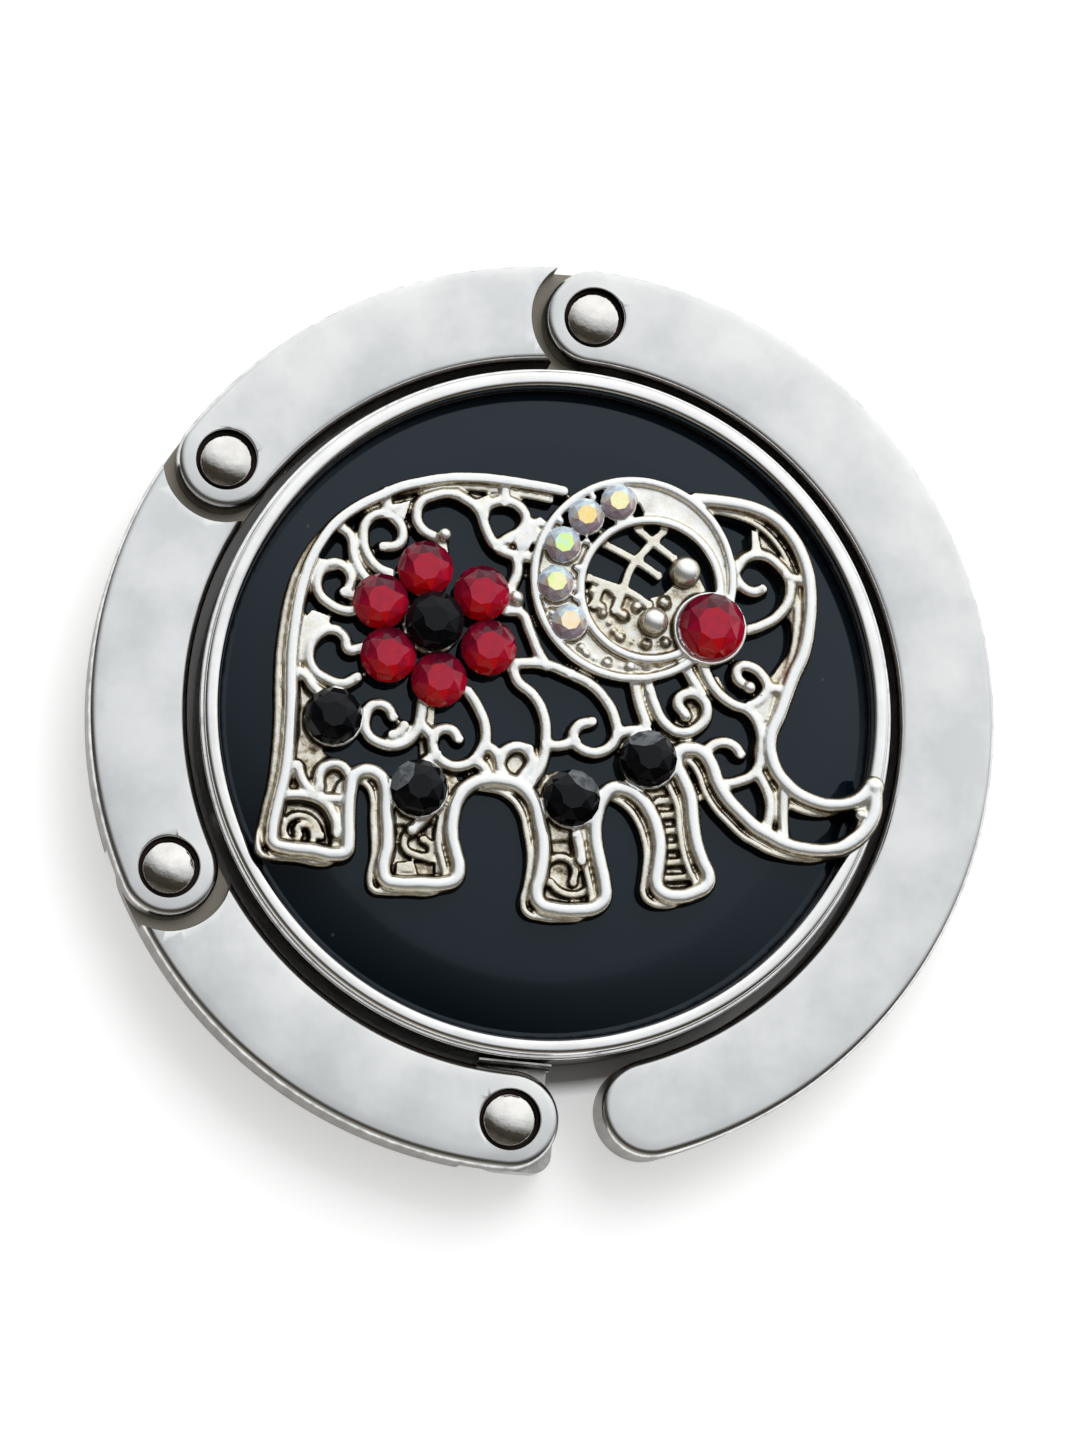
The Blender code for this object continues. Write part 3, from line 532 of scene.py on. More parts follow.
# Links
def link_half_section():
    """From the rivet's line outwards: crowned top, rounded edges, flat underside."""
    half = link_width / 2
    flat = half - link_edge_round
    chain = [(flat * step / 4, link_top_z - link_crown * (step / 4) ** 2) for step in range(4)]
    top = link_top_z - link_crown - link_edge_round
    bottom = link_bottom_z + link_edge_round
    chain += arc((flat, top), link_edge_round, 90, 0, 6)
    chain += arc((flat, bottom), link_edge_round, 0, -90, 4)
    chain.append((0.0, link_bottom_z))
    return chain


def link_blank(name, first_angle, last_angle):
    """Sweep the section round the ring, then round each end; the angles run clockwise."""
    bm = bmesh.new()
    half = link_half_section()
    whole = half + [(-across, height) for across, height in reversed(half[1:-1])]
    out = toward(last_angle)
    span = first_angle - last_angle
    places = [out * (ring_radius + across) + up * height for across, height in whole]
    steps = round(span / link_step_degrees)
    spin_chain(bm, places, (0, 0, 0), up, math.radians(span), steps, closed=True)
    for angle, side in ((first_angle, 1.0), (last_angle, -1.0)):
        out = toward(angle)
        places = [out * ring_radius + out * side * across + up * height for across, height in half]
        spin_chain(bm, places, out * ring_radius, up, math.pi, hole_steps // 2)
    return finished(bm, name)


def flared_hole(name, place, radius, floor_z, rim_round):
    """A round cutter from a floor up through the top face, with a rounded rim."""
    rim = arc((radius + rim_round, link_top_z - rim_round), rim_round, 180, 90, 4)
    over = link_top_z + 2 * rim_round
    profile = [(0, floor_z), (radius, floor_z)] + rim + [(radius + rim_round, over), (0, over)]
    return turned(name, profile, hole_steps, at=(*place, 0.0))


def plain_hole(name, place, radius, bottom, top):
    profile = [(0, bottom), (radius, bottom), (radius, top), (0, top)]
    return turned(name, profile, hole_steps, at=(*place, 0.0))


def lap_cutters(place, upper):
    """What is cut away at a lap: the other half, the rivet's bore and its head's or tail's sink."""
    below = link_bottom_z - shoulder_gap
    above = link_top_z + shoulder_gap
    shoulder = link_width / 2 + shoulder_gap
    bore = plain_hole("bore", place, rivet_shank_radius + running_clearance, below, above)
    if upper:
        relief = plain_hole("relief", place, shoulder, below, lap_plane_z + lap_clearance / 2)
        sink = flared_hole("sink", place, rivet_head_radius + head_gap,
                           link_top_z - head_sink - running_clearance, hole_rim_round)
    else:
        relief = flared_hole("relief", place, shoulder, lap_plane_z - lap_clearance / 2,
                             shoulder_rim_round)
        sink = plain_hole("sink", place, tail_radius + running_clearance, below,
                          link_bottom_z + tail_height + 2 * running_clearance)
    return [relief, bore, sink]


def make_link(node, first_angle, last_angle):
    """A link from its upper lap to its lower one, or to the hook arm's free tip."""
    blank = link_blank(node + "_blank", first_angle, last_angle)
    first_place = on_circle(ring_radius, first_angle)
    last_place = on_circle(ring_radius, last_angle)
    cutters = lap_cutters(first_place, upper=True)
    has_lap = node != "hook_arm"
    if has_lap:
        cutters += lap_cutters(last_place, upper=False)
    mesh = carved(blank, *cutters)
    mark_recess_shade(mesh, first_place, last_place, has_lap)
    add_piece("polished_" + node, mesh, satin_zinc, "silver_plate", node)


def mark_recess_shade(mesh, upper_place, lower_place, has_pocket):
    """Say how much painted shade each face takes: 1 in the rivet's sink, half as much in the lap's
    pocket.
    """
    recess_shade = mesh.attributes.new("recess_shade", "FLOAT", "FACE")
    sink = rivet_head_radius + head_gap + sink_shade_margin
    pocket = link_width / 2 + shoulder_gap - pocket_shade_margin
    for face in mesh.polygons:
        spot = face.center
        from_rivet = math.dist(spot.xy, upper_place)
        from_lap = math.dist(spot.xy, lower_place)
        below_top = link_top_z - spot.z
        if from_rivet < sink and hole_rim_round / 2 < below_top < head_sink + 2 * glue_line:
            recess_shade.data[face.index].value = 1.0
        elif has_pocket and from_lap < pocket and below_top < link_top_z - lap_plane_z + glue_line:
            recess_shade.data[face.index].value = 0.5


def make_lug():
    """Tongue with one squared corner, a stepped neck beside the disc and a round shank."""
    out = Vector(on_circle(1.0, lug_angle))
    side = Vector((-out.y, out.x))
    middle = out * ring_radius
    reach = link_width / 2 - lug_tongue_inset
    neck_root = disc_radius + lug_disc_gap
    root = ring_radius - neck_root
    half = lug_neck_width / 2
    flank = math.sqrt(reach ** 2 - half ** 2)
    shape = [(half, -root), (half, -flank), (reach, 0.0)]
    shape += arc((reach - lug_corner_round, reach - lug_corner_round), lug_corner_round, 0, 90, 8)
    shape += arc((0.0, 0.0), reach, 90, 180 + math.degrees(math.asin(flank / reach)), 30)
    shape.append((-half, -root))
    tongue_top = lap_plane_z - lap_clearance / 2

    def stood(name, plan_shape, bottom, top):
        return block(name, [middle + side * across + out * along for across, along in plan_shape],
                     bottom, top)

    tongue = stood("lug", shape, link_bottom_z, tongue_top)
    tools = []
    for number in range(lug_neck_steps):
        end = lug_neck_depth * (number + 1) / lug_neck_steps - root
        tools.append(stood("neck", [(half, -root), (half, end), (-half, end), (-half, -root)],
                           tongue_top - glue_line, link_top_z - lug_neck_drop * number))
    start = -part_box("swivel_lug")[1].y
    end = neck_root + lug_neck_depth / 2
    tools.append(turned("shank", [(0, start), (shank_radius, start), (shank_radius, end), (0, end)],
                        shank_steps, at=(0, 0, swivel_axis_z), axis=(*out, 0.0), start=up))
    solid = carved(tongue, *tools, operation="UNION")
    below = link_bottom_z - shoulder_gap
    bore = plain_hole("bore", middle, rivet_shank_radius + running_clearance, below, link_top_z)
    sink = plain_hole("sink", middle, tail_radius + running_clearance, below,
                      link_bottom_z + tail_height + 2 * running_clearance)
    add_piece("stepped_lug", carved(solid, bore, sink), cast_zinc, "silver_plate", "swivel_lug")


def make_rivet(node):
    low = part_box(node)[0]
    head_bottom = link_top_z - head_sink
    rim_top = head_bottom + rivet_rim_height
    tail_top = low.z + tail_height
    cap_radius = (rivet_head_radius ** 2 / rivet_dome_height + rivet_dome_height) / 2
    cap_centre_z = rim_top + rivet_dome_height - cap_radius
    lean = math.asin(rivet_head_radius / cap_radius)
    dome = [(cap_radius * math.sin(turn), cap_centre_z + cap_radius * math.cos(turn))
            for turn in (lean * (1 - step / dome_steps) for step in range(1, dome_steps))]
    profile = [(0, low.z), (tail_radius, low.z), (tail_radius, tail_top),
               (rivet_shank_radius, tail_top), (rivet_shank_radius, head_bottom),
               (rivet_head_radius, head_bottom), (rivet_head_radius, rim_top)]
    profile += dome + [(0, rim_top + rivet_dome_height)]
    mesh = turned(node + "_domed", profile, rivet_steps, at=(*middle_of(node), 0.0))
    add_piece(node + "_domed", mesh, bright_rivet, "rivet_steel", node)


# Disc, inlay and pad
def make_disc():
    outer = disc_radius
    ledge = disc_radius - bezel_ledge_width
    inner = disc_radius - bezel_width
    ledge_z = disc_top_z - bezel_ledge_drop
    crown_z = disc_top_z - bezel_round
    pad_recess = pad_radius + pad_side_gap
    seat_z = inlay_bottom_z - glue_line
    profile = [(0, pad_top_z + glue_line), (pad_recess, pad_top_z + glue_line),
               (pad_recess, disc_bottom_z)]
    profile += arc((outer - disc_bottom_bevel, disc_bottom_z + disc_bottom_bevel),
                   disc_bottom_bevel, -90, 0, 6)
    profile += arc((outer - ledge_round, ledge_z - ledge_round), ledge_round, 0, 90, 3)
    profile += [(ledge, ledge_z)]
    profile += arc((ledge - bezel_round, crown_z), bezel_round, 0, 90, 8)
    profile += arc((inner + bezel_round, crown_z), bezel_round, 90, 180, 8)
    profile += [(inner, seat_z), (0, seat_z)]
    disc = turned("turned_disc", profile, turn_steps)
    out = toward(lug_angle)
    side = up.cross(out)
    low, high = pocket_reach
    across = side * pocket_half
    corners = [out * low - across, out * high - across, out * high + across, out * low + across]
    pocket = block("pocket", [spot.xy for spot in corners], disc_bottom_z - glue_line,
                   pocket_roof_z)
    first = high - glue_line
    last = outer + glue_line
    bore = turned("swivel_bore", [(0, first), (swivel_bore, first), (swivel_bore, last), (0, last)],
                  bore_steps, at=(0, 0, swivel_axis_z), axis=out, start=up)
    add_piece("turned_disc", carved(disc, pocket, bore), bright_plate, "silver_plate", "disc_cup")


def dome_z(reach):
    """Height of the inlay's skin at a share of its radius: a dome that rolls over at the rim."""
    reach = min(reach, 1.0)
    roll = max(0.0, 1 - (1 - reach) * inlay_radius / inlay_rim_width)
    dome = (inlay_top_z - inlay_edge_z) * (1 - reach ** inlay_fullness)
    return inlay_edge_z + dome - inlay_rim_drop * roll ** inlay_rim_fullness


def make_inlay():
    profile = [(0, inlay_bottom_z), (inlay_radius, inlay_bottom_z)]
    rolled = [1 - inlay_rim_width / inlay_radius * step / inlay_rim_steps
              for step in range(inlay_rim_steps + 1)]
    domed = [rolled[-1] * (1 - step / inlay_rings) for step in range(1, inlay_rings + 1)]
    profile += [(inlay_radius * reach, dome_z(reach)) for reach in rolled + domed]
    add_piece("domed_inlay", turned("domed_inlay", profile, turn_steps), black_enamel,
              "black_enamel", "enamel_inlay")


def make_pad():
    profile = [(0, 0)]
    profile += arc((pad_radius - pad_edge_round, pad_edge_round), pad_edge_round, -90, 0, 6)
    profile += [(pad_radius, pad_top_z), (0, pad_top_z)]
    add_piece("grip_pad", turned("grip_pad", profile, turn_steps), pad_rubber, "black_rubber",
              "table_pad")


# Stones: what follows are shares of a stone's height and radius
girdle_height = 0.2
break_height = 0.64
break_radius = 0.83


def cut_stone(name, place, radius, height, table_share, table_light, crown_light, crown_swing,
              glint=None):
    """Flat back, thin girdle, eight main facets with kites between them, and a flat table.

    The facets that face a glint's way, in degrees, carry the most light.
    """
    bm = bmesh.new()
    for count, share, level, turn in ((16, 1.0, 0.0, 0.0), (16, 1.0, girdle_height, 0.0),
                                      (8, break_radius, break_height, 11.25),
                                      (8, table_share, 1.0, 33.75)):
        for step in range(count):
            x, y = on_circle(radius * share, 360.0 * step / count + turn)
            bm.verts.new((place.x + x, place.y + y, place.z + height * level))
    bmesh.ops.convex_hull(bm, input=bm.verts[:])
    bmesh.ops.dissolve_limit(bm, angle_limit=math.radians(1.0), verts=bm.verts[:],
                             edges=bm.edges[:])
    bmesh.ops.recalc_face_normals(bm, faces=bm.faces[:])
    light = bm.faces.layers.float.new("facet_light")
    for face in bm.faces:
        normal = face.normal
        lean = math.hypot(normal.x, normal.y)
        if normal.z > 0.98:
            face[light] = table_light
        elif lean > 0.01:
            turn = math.atan2(normal.y, normal.x)
            flutter = 0.3 * crown_swing * math.sin(5 * turn + 40 * normal.z)
            face[light] = crown_light - crown_swing * normal.y / lean + flutter
            if glint is not None and math.cos(turn - math.radians(glint)) > 0.85 and normal.z > 0.3:
                face[light] = 1.0
    mesh = bpy.data.meshes.new(name)
    bm.to_mesh(mesh)
    bm.free()
    return mesh


def make_stones():
    red = {"table_share": 0.5, "table_light": 0.6, "crown_light": 0.5, "crown_swing": 0.4}
    black = {"table_share": 0.44, "table_light": 0.3, "crown_light": 0.45, "crown_swing": 0.3}
    rainbow = {"table_share": 0.55, "crown_light": 0.2, "crown_swing": -0.16}
    kinds = {node: (red_glass, "red_crystal", red) for node in petals + ["cheek_stone"]}
    kinds["flower_centre_stone"] = (black_glass, "black_crystal", black)
    for node, glint in zip(black_stones, black_stone_glints):
        kinds[node] = (black_glass, "black_crystal", {**black, "glint": glint})
    for node, table_light in zip(ear_stones, ear_table_lights):
        kinds[node] = (aurora_glass, "aurora_crystal", {**rainbow, "table_light": table_light})
    for node, (material, slot, cut) in kinds.items():
        low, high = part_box(node)
        radius = half_width(node)
        if node == "flower_centre_stone":
            radius *= centre_stone_share
        if node in petals:
            radius *= petal_stone_share
        place = Vector((*middle_of(node), low.z))
        mesh = cut_stone(node + "_cut", place, radius, high.z - low.z, **cut)
        add_piece(node + "_cut", mesh, material, slot, node)


# Elephant: centre lines in pixels of the photograph, x to the right and y down
outline_lines = {
    "back": [(565, 487), (550, 484), (530, 481), (510, 478), (470, 475), (440, 477), (420, 481),
        (400, 486), (380, 495), (360, 505), (340, 519), (330, 529), (320, 543), (310, 561), (303, 580),
        (298, 600), (294, 625)],
    "body": [(303, 580), (298, 600), (294, 625), (291, 650), (290, 680), (290, 710), (288, 745),
        (284, 780), (277, 810), (272, 838), (273, 848), (282, 852), (310, 855), (338, 859), (346, 856),
        (348, 845), (348, 820), (350, 795), (354, 780), (366, 774), (379, 779), (385, 790), (386, 815),
        (387, 850), (383, 874), (386, 884), (398, 887), (420, 887), (444, 887), (456, 882), (459, 870),
        (456, 856), (452, 838), (453, 820), (458, 802), (470, 788), (485, 782), (503, 782), (520, 787),
        (534, 802), (541, 828), (544, 850), (541, 878), (537, 896), (541, 906), (556, 911), (580, 912),
        (597, 909), (606, 900), (606, 886), (601, 862), (597, 840), (598, 818), (604, 800), (614, 789),
        (626, 789), (641, 797), (652, 811), (660, 832), (662, 848), (660, 868), (659, 886), (666, 894),
        (680, 897), (697, 893), (710, 885), (712, 876), (706, 862), (700, 845), (696, 822), (693, 795),
        (685, 776), (679, 762), (681, 752), (693, 747), (706, 751), (715, 763), (721, 780), (731, 797),
        (745, 812), (760, 826), (774, 834), (790, 842), (812, 847), (838, 847), (858, 839), (873, 825),
        (881, 808), (882, 790)],
    "brow": [(697, 492), (725, 494), (755, 499), (780, 510), (797, 527), (808, 546), (815, 568),
        (817, 592), (815, 622), (809, 650), (799, 672), (785, 710), (775, 735), (777, 758), (790, 780),
        (815, 797), (845, 802), (866, 795), (880, 783)],
}

curl_lines = {
    "rump_loop": [(390, 574), (379, 570), (366, 555), (362, 540), (366, 521), (380, 513), (395, 519),
        (402, 535), (397, 545), (382, 547)],
    "rump_tie": [(335, 526), (348, 535), (353, 559), (361, 575), (376, 590)],
    "rump_web": [(386, 490), (386, 514)],
    "back_s": [(443, 537), (430, 534), (419, 525), (416, 514), (421, 500), (433, 494), (451, 491),
        (466, 497), (479, 508), (487, 529), (497, 545), (514, 553), (532, 555)],
    "back_s_foot": [(441, 538), (443, 552)],
    "shoulder_loop": [(484, 514), (487, 504), (505, 498), (521, 504), (527, 517), (520, 530),
        (510, 537)],
    "shoulder_web": [(497, 545), (512, 534), (525, 529), (533, 522), (541, 519)],
    "shoulder_rise": [(505, 499), (505, 480)],
    "neck_hook": [(518, 558), (518, 572), (511, 589), (508, 600), (520, 601)],
    "neck_tie": [(505, 610), (522, 612), (530, 628), (540, 652), (548, 666)],
    "tail_curl": [(346, 595), (350, 580), (343, 568), (328, 565), (317, 578), (317, 594), (328, 606),
        (345, 613), (358, 612)],
    "tail_tie": [(343, 594), (360, 600)],
    "flank_curl": [(362, 650), (347, 652), (344, 640), (332, 632), (317, 638), (308, 655), (312, 672),
        (325, 682), (343, 687), (357, 680)],
    "flank_web": [(293, 672), (305, 680), (312, 690), (322, 698)],
    "belly_curl": [(393, 720), (386, 709), (373, 708), (365, 720), (367, 737), (382, 747), (399, 748),
        (413, 738), (420, 722), (422, 702)],
    "belly_curl_end": [(404, 728), (400, 735), (392, 738)],
    "middle_curl": [(468, 692), (478, 708), (486, 730), (483, 750), (466, 767), (446, 766), (433, 750),
        (436, 735), (450, 731), (459, 741)],
    "middle_web": [(420, 726), (434, 741)],
    "lower_web": [(424, 766), (437, 757)],
    "middle_tie": [(474, 762), (486, 772), (484, 783)],
    "seat_curl": [(530, 750), (514, 748), (502, 758), (501, 770), (511, 783)],
    "seat_web": [(486, 748), (493, 751), (501, 762)],
    "seat_loop": [(528, 750), (533, 763), (524, 779), (520, 787)],
    "long_leaf": [(484, 668), (500, 666), (522, 663), (548, 664), (572, 673)],
    "long_leaf_side": [(513, 667), (518, 681), (534, 695), (544, 713), (547, 736), (542, 767),
        (532, 784)],
    "leaf_bar": [(547, 746), (563, 746), (577, 741)],
    "chest_curl": [(572, 673), (592, 683), (607, 698), (617, 718), (618, 738), (605, 751), (587, 751),
        (575, 739), (580, 726), (594, 721)],
    "chest_bar": [(619, 734), (632, 730), (650, 730)],
    "chest_rise": [(637, 680), (642, 703), (649, 723)],
    "jaw_curl": [(652, 686), (657, 702), (668, 722), (685, 731), (702, 725), (711, 710), (704, 694),
        (690, 691), (681, 701), (688, 711)],
    "jaw_tie": [(691, 668), (697, 678), (705, 691)],
    "cheek_fall": [(706, 662), (719, 686), (737, 701), (753, 707), (764, 724), (766, 745), (760, 770),
        (742, 780), (726, 783)],
    "trunk_curl": [(774, 684), (768, 672), (757, 663), (744, 663), (742, 674), (750, 682)],
    "trunk_curl_back": [(774, 684), (767, 695), (754, 703)],
    "trunk_node": [(774, 684), (793, 686)],
    "mouth_hook": [(708, 753), (716, 744), (728, 740), (740, 745), (745, 752)],
    "brow_hook": [(732, 557), (739, 568), (748, 581), (760, 586), (768, 583)],
    "brow_curl": [(741, 564), (752, 551), (769, 548), (784, 557), (795, 572), (796, 590), (785, 609),
        (768, 620), (750, 626)],
    "brow_bridge": [(793, 570), (813, 574)],
    "trunk_post": [(762, 770), (772, 790), (775, 806), (771, 828)],
    "trunk_post_tip": [(789, 784), (788, 812), (789, 838)],
    "rear_bar": [(281, 800), (305, 800), (322, 806), (334, 822), (337, 838)],
    "rear_hook": [(297, 770), (303, 787), (318, 801), (343, 804)],
    "rear_curl": [(350, 780), (340, 769), (328, 769), (319, 779), (319, 792)],
    "second_rise": [(428, 818), (420, 826), (412, 834)],
    "third_rise": [(578, 836), (581, 848), (583, 862)],
}

relief_lines = {
    "brow_inner": [(797, 604), (801, 622), (797, 648), (787, 664), (777, 678)],
    "brow_step": [(738, 556), (750, 546), (762, 544)],
    "rear_spiral": [(321, 840), (314, 826), (303, 820), (291, 822), (284, 832), (288, 843), (298, 847)],
    "rear_spiral_end": [(313, 848), (313, 836), (306, 829), (298, 832), (299, 839)],
    "second_curl": [(414, 831), (405, 842), (406, 852), (416, 858), (426, 860)],
    "second_arc": [(424, 842), (432, 849), (431, 862)],
    "third_curl": [(550, 863), (560, 858), (571, 861), (577, 870), (575, 884)],
    "third_cup": [(552, 884), (562, 893), (578, 896), (592, 890)],
}
ladder_left_px = 662
ladder_right_px = 702
ladder_lean_px = 3
rung_heights_px = [800, 815, 831, 847, 863, 879]

lattice_lines = {
    "upper": [(602, 537), (628, 550), (646, 560), (662, 571)],
    "lower": [(590, 574), (614, 582), (634, 589), (652, 601)],
    "bar": [(660, 533), (646, 548), (634, 564), (628, 580), (618, 607)],
    "arms": [(642, 524), (656, 536), (678, 553)],
    "arm_across": [(667, 526), (655, 538), (643, 552)],
    "bar_foot": [(620, 590), (607, 583), (596, 602)],
}

# The ear: two rings with stretches of floor between them, and beads in rows
ear_middle = (636, 576)
ear_radius = 101
lobe_middle = (653, 586)
lobe_radius = 71
crescent_inset_px = 2
crescent_stretches = [(60, 215, crescent_floor_px), (-93, 65, plate_px - 2.5)]
bead_rows = [(ear_middle, ear_radius - 12, 72, 178, 15, crescent_floor_px),
             (lobe_middle, lobe_radius - 16, 60, 190, 11, ear_floor_px)]

# The stones, what the larger ones measure beside the solids, and how the others catch the light
petals = [f"red_petal_{number}" for number in range(1, 7)]
black_stones = [f"black_stone_{number}" for number in range(1, 5)]
ear_stones = [f"ear_stone_{number}" for number in range(1, 6)]
centre_stone_share = 1.17
petal_stone_share = 1.08
ear_table_lights = (0.74, 0.86, 0.57, 0.67, 0.97)
black_stone_glints = (None, 150.0, 65.0, 95.0)

# Solid areas between the wires, each with the height that it is filled to
filled_areas = {
    "rump_corner": (curl_top_px - 1, [(306, 563), (322, 560), (338, 560), (346, 570), (330, 573),
        (313, 580)]),
    "flank_corner": (curl_top_px - 1, [(298, 626), (311, 612), (330, 619), (328, 628), (314, 640),
        (300, 668)]),
    "back_corner": (curl_top_px - 1, [(446, 488), (458, 486), (476, 497), (490, 491), (486, 508),
        (474, 503)]),
    "brow_corner": (curl_top_px - 1, [(757, 522), (764, 524), (768, 547), (757, 545)]),
    "cheek_bumps": (relief_top_px, [(710, 676), (722, 671), (736, 694), (726, 697)]),
    "trunk_corner": (curl_top_px - 1, [(752, 700), (766, 694), (778, 690), (772, 716), (762, 724)]),
    "seat_corner": (relief_top_px, [(420, 704), (436, 704), (434, 728), (422, 742), (414, 736)]),
    "seat_floor": (web_floor_px, [(420, 740), (436, 752), (446, 776), (430, 772), (420, 762)]),
    "saddle": (relief_top_px, [(484, 764), (502, 752), (506, 778), (476, 785)]),
    "saddle_cup": (web_floor_px, [(506, 752), (530, 752), (524, 776), (510, 779)]),
    "ear_bottom": (ear_floor_px, [(584, 596), (612, 590), (640, 598), (668, 588), (700, 560),
        (720, 600), (700, 640), (655, 654), (610, 643)]),
    "back": (web_floor_px, [(384, 494), (440, 480), (522, 483), (520, 498), (490, 502), (440, 497),
        (420, 500), (395, 512)]),
    "rump_gusset": (curl_top_px, [(386, 505), (400, 502), (410, 499), (407, 510), (403, 521)]),
    "shoulder_gusset": (curl_top_px, [(512, 534), (521, 531), (534, 521), (540, 527), (530, 547),
        (520, 552)]),
    "rear_foot": (foot_floor_px, [(286, 803), (345, 803), (345, 853), (276, 849)]),
    "second_foot": (foot_floor_px, [(389, 826), (452, 824), (455, 882), (388, 882)]),
    "third_foot": (foot_floor_px, [(545, 842), (597, 842), (604, 906), (542, 904)]),
    "front_foot": (foot_floor_px, [(661, 800), (694, 796), (708, 884), (662, 890)]),
    "thigh": (web_floor_px, [(289, 742), (310, 740), (350, 778), (345, 803), (285, 800)]),
    "shoulder": (web_floor_px, [(530, 784), (560, 770), (600, 790), (596, 840), (545, 842),
        (534, 803)]),
    "brow": (web_floor_px, [(760, 512), (785, 524), (804, 548), (812, 590), (797, 580), (778, 551),
        (754, 546)]),
    "cheek": (web_floor_px, [(692, 656), (712, 655), (730, 690), (708, 700), (695, 682)]),
    "jaw": (web_floor_px, [(672, 702), (690, 692), (708, 704), (704, 722), (684, 728)]),
    "chest": (web_floor_px, [(644, 730), (684, 730), (690, 752), (688, 800), (662, 812), (634, 790)]),
    "belly": (web_floor_px, [(398, 772), (440, 765), (470, 788), (452, 826), (389, 828), (386, 790)]),
    "flank": (web_floor_px, [(299, 612), (322, 619), (332, 621), (319, 635), (302, 657), (294, 660)]),
    "hip": (web_floor_px, [(293, 692), (330, 690), (320, 745), (290, 745)]),
    "trunk": (web_floor_px, [(768, 800), (790, 792), (800, 842), (772, 832)]),
    "second_toe": (relief_top_px, [(397, 866), (414, 864), (418, 876), (396, 877)]),
    "second_heel": (relief_top_px, [(436, 864), (446, 860), (449, 876), (436, 876)]),
}

# Balls of the casting, each as its place, its radius and its middle's height in pixels
silver_balls = [(688, 568, 16, 21), (656, 619, 15, 20), (626, 612, 7, 9), (640, 603, 6, 9),
                (668, 598, 8, 8), (604, 604, 6, 9), (444, 534, 7, 18), (517, 597, 8, 16),
                (881, 783, 12, 9), (754, 684, 7, 15), (689, 714, 7, 13), (867, 812, 6, 14)]
prongs = [(562, 518), (588, 538), (578, 565), (577, 596), (595, 493)]

wire_sections = {
    "outline": [(9.8, 0.0), (9.4, 8.0), (8.0, plate_px - 4.2), (6.4, plate_px - 1.8),
        (4.4, plate_px - 0.5), (2.4, plate_px)],
    "thin": [(8.4, 0.0), (8.0, 8.0), (5.4, plate_px - 2.0), (4.6, plate_px - 0.4), (3.6, plate_px)],
    "skirt": [(4.2, 0.0), (4.0, skirt_top_px - 3.0), (3.4, skirt_top_px - 1.0), (2.2, skirt_top_px)],
    "curl": [(8.8, 0.0), (8.4, 3.0), (7.0, curl_top_px - 6.0), (6.2, curl_top_px - 3.0),
        (4.8, curl_top_px - 0.9), (2.4, curl_top_px)],
    "lattice": [(5.0, 0.0), (4.7, lattice_top_px - 1.6), (3.2, lattice_top_px)],
    "relief": [(4.6, 0.0), (4.2, relief_top_px - 2.0), (2.6, relief_top_px)],
    "ring": [(6.0, 0.0), (5.0, 5.0), (4.6, plate_px - 1.6), (3.0, plate_px + 0.6)],
    "cup": [(2.2, 0.0), (1.8, plate_px), (1.0, plate_px + cup_rise_px)],
}


def plan(spot):
    """From the photograph's pixels to the casting's own, with y up."""
    return spot[0] - ornament_origin_px[0], ornament_origin_px[1] - spot[1]


def add_wires(bm, kind, lines, closed=False):
    """Run a wire's section along smooth lines, with a round post at each free end."""
    half = wire_sections[kind]
    shape = bpy.data.curves.new(kind, "CURVE")
    shape.dimensions = "2D"
    rim = shape.splines.new("POLY")
    points = half + [(-across, height) for across, height in reversed(half)]
    rim.points.add(len(points) - 1)
    for point, (across, height) in zip(rim.points, points):
        point.co = (across, height, 0.0, 1.0)
    rim.use_cyclic_u = True
    profile = put_in_scene(shape)
    path = bpy.data.curves.new(kind + "_path", "CURVE")
    path.dimensions = "3D"
    path.twist_mode = "Z_UP"
    path.resolution_u = 5
    path.bevel_mode = "OBJECT"
    path.bevel_object = profile
    path.use_fill_caps = True
    for line in lines:
        spline = path.splines.new("BEZIER")
        spline.bezier_points.add(len(line) - 1)
        spline.use_cyclic_u = closed
        for knot, spot in zip(spline.bezier_points, line):
            knot.co = (*plan(spot), 0.0)
            knot.handle_left_type = "AUTO"
            knot.handle_right_type = "AUTO"
    run = put_in_scene(path)
    bm.from_mesh(evaluated(run, run, profile))
    if closed:
        return
    for line in lines:
        for spot in (line[0], line[-1]):
            add_post(bm, spot, half[0][0], half[-2][0], half[-1][1])


def add_post(bm, spot, foot, head, top):
    bmesh.ops.create_cone(bm, cap_ends=True, cap_tris=False, segments=20, radius1=foot,
                          radius2=head, depth=top,
                          matrix=Matrix.Translation((*plan(spot), top / 2)))


def add_ball(bm, spot, radius, height):
    bmesh.ops.create_uvsphere(bm, u_segments=24, v_segments=16, radius=radius,
                              matrix=Matrix.Translation((*plan(spot), height)))


def moved_by(spot, shift):
    return spot[0] + shift[0], spot[1] + shift[1]


def circle_line(centre, radius):
    return arc(centre, radius, 0, 360, 24)[:-1]


def crescent(first, last, height):
    """The sickle between the ear's two rings, over a stretch of turning."""
    outer = arc(ear_middle, ear_radius - crescent_inset_px, first, last, 16)
    inner = arc(lobe_middle, lobe_radius + crescent_inset_px, last, first, 16)
    return height, outer + inner


def stone_spot(node):
    """A stone's place in the photograph's pixels, from the frame."""
    x, y = middle_of(node)
    return (x - ornament_shift_x) / px + ornament_origin_px[0], ornament_origin_px[1] - y / px


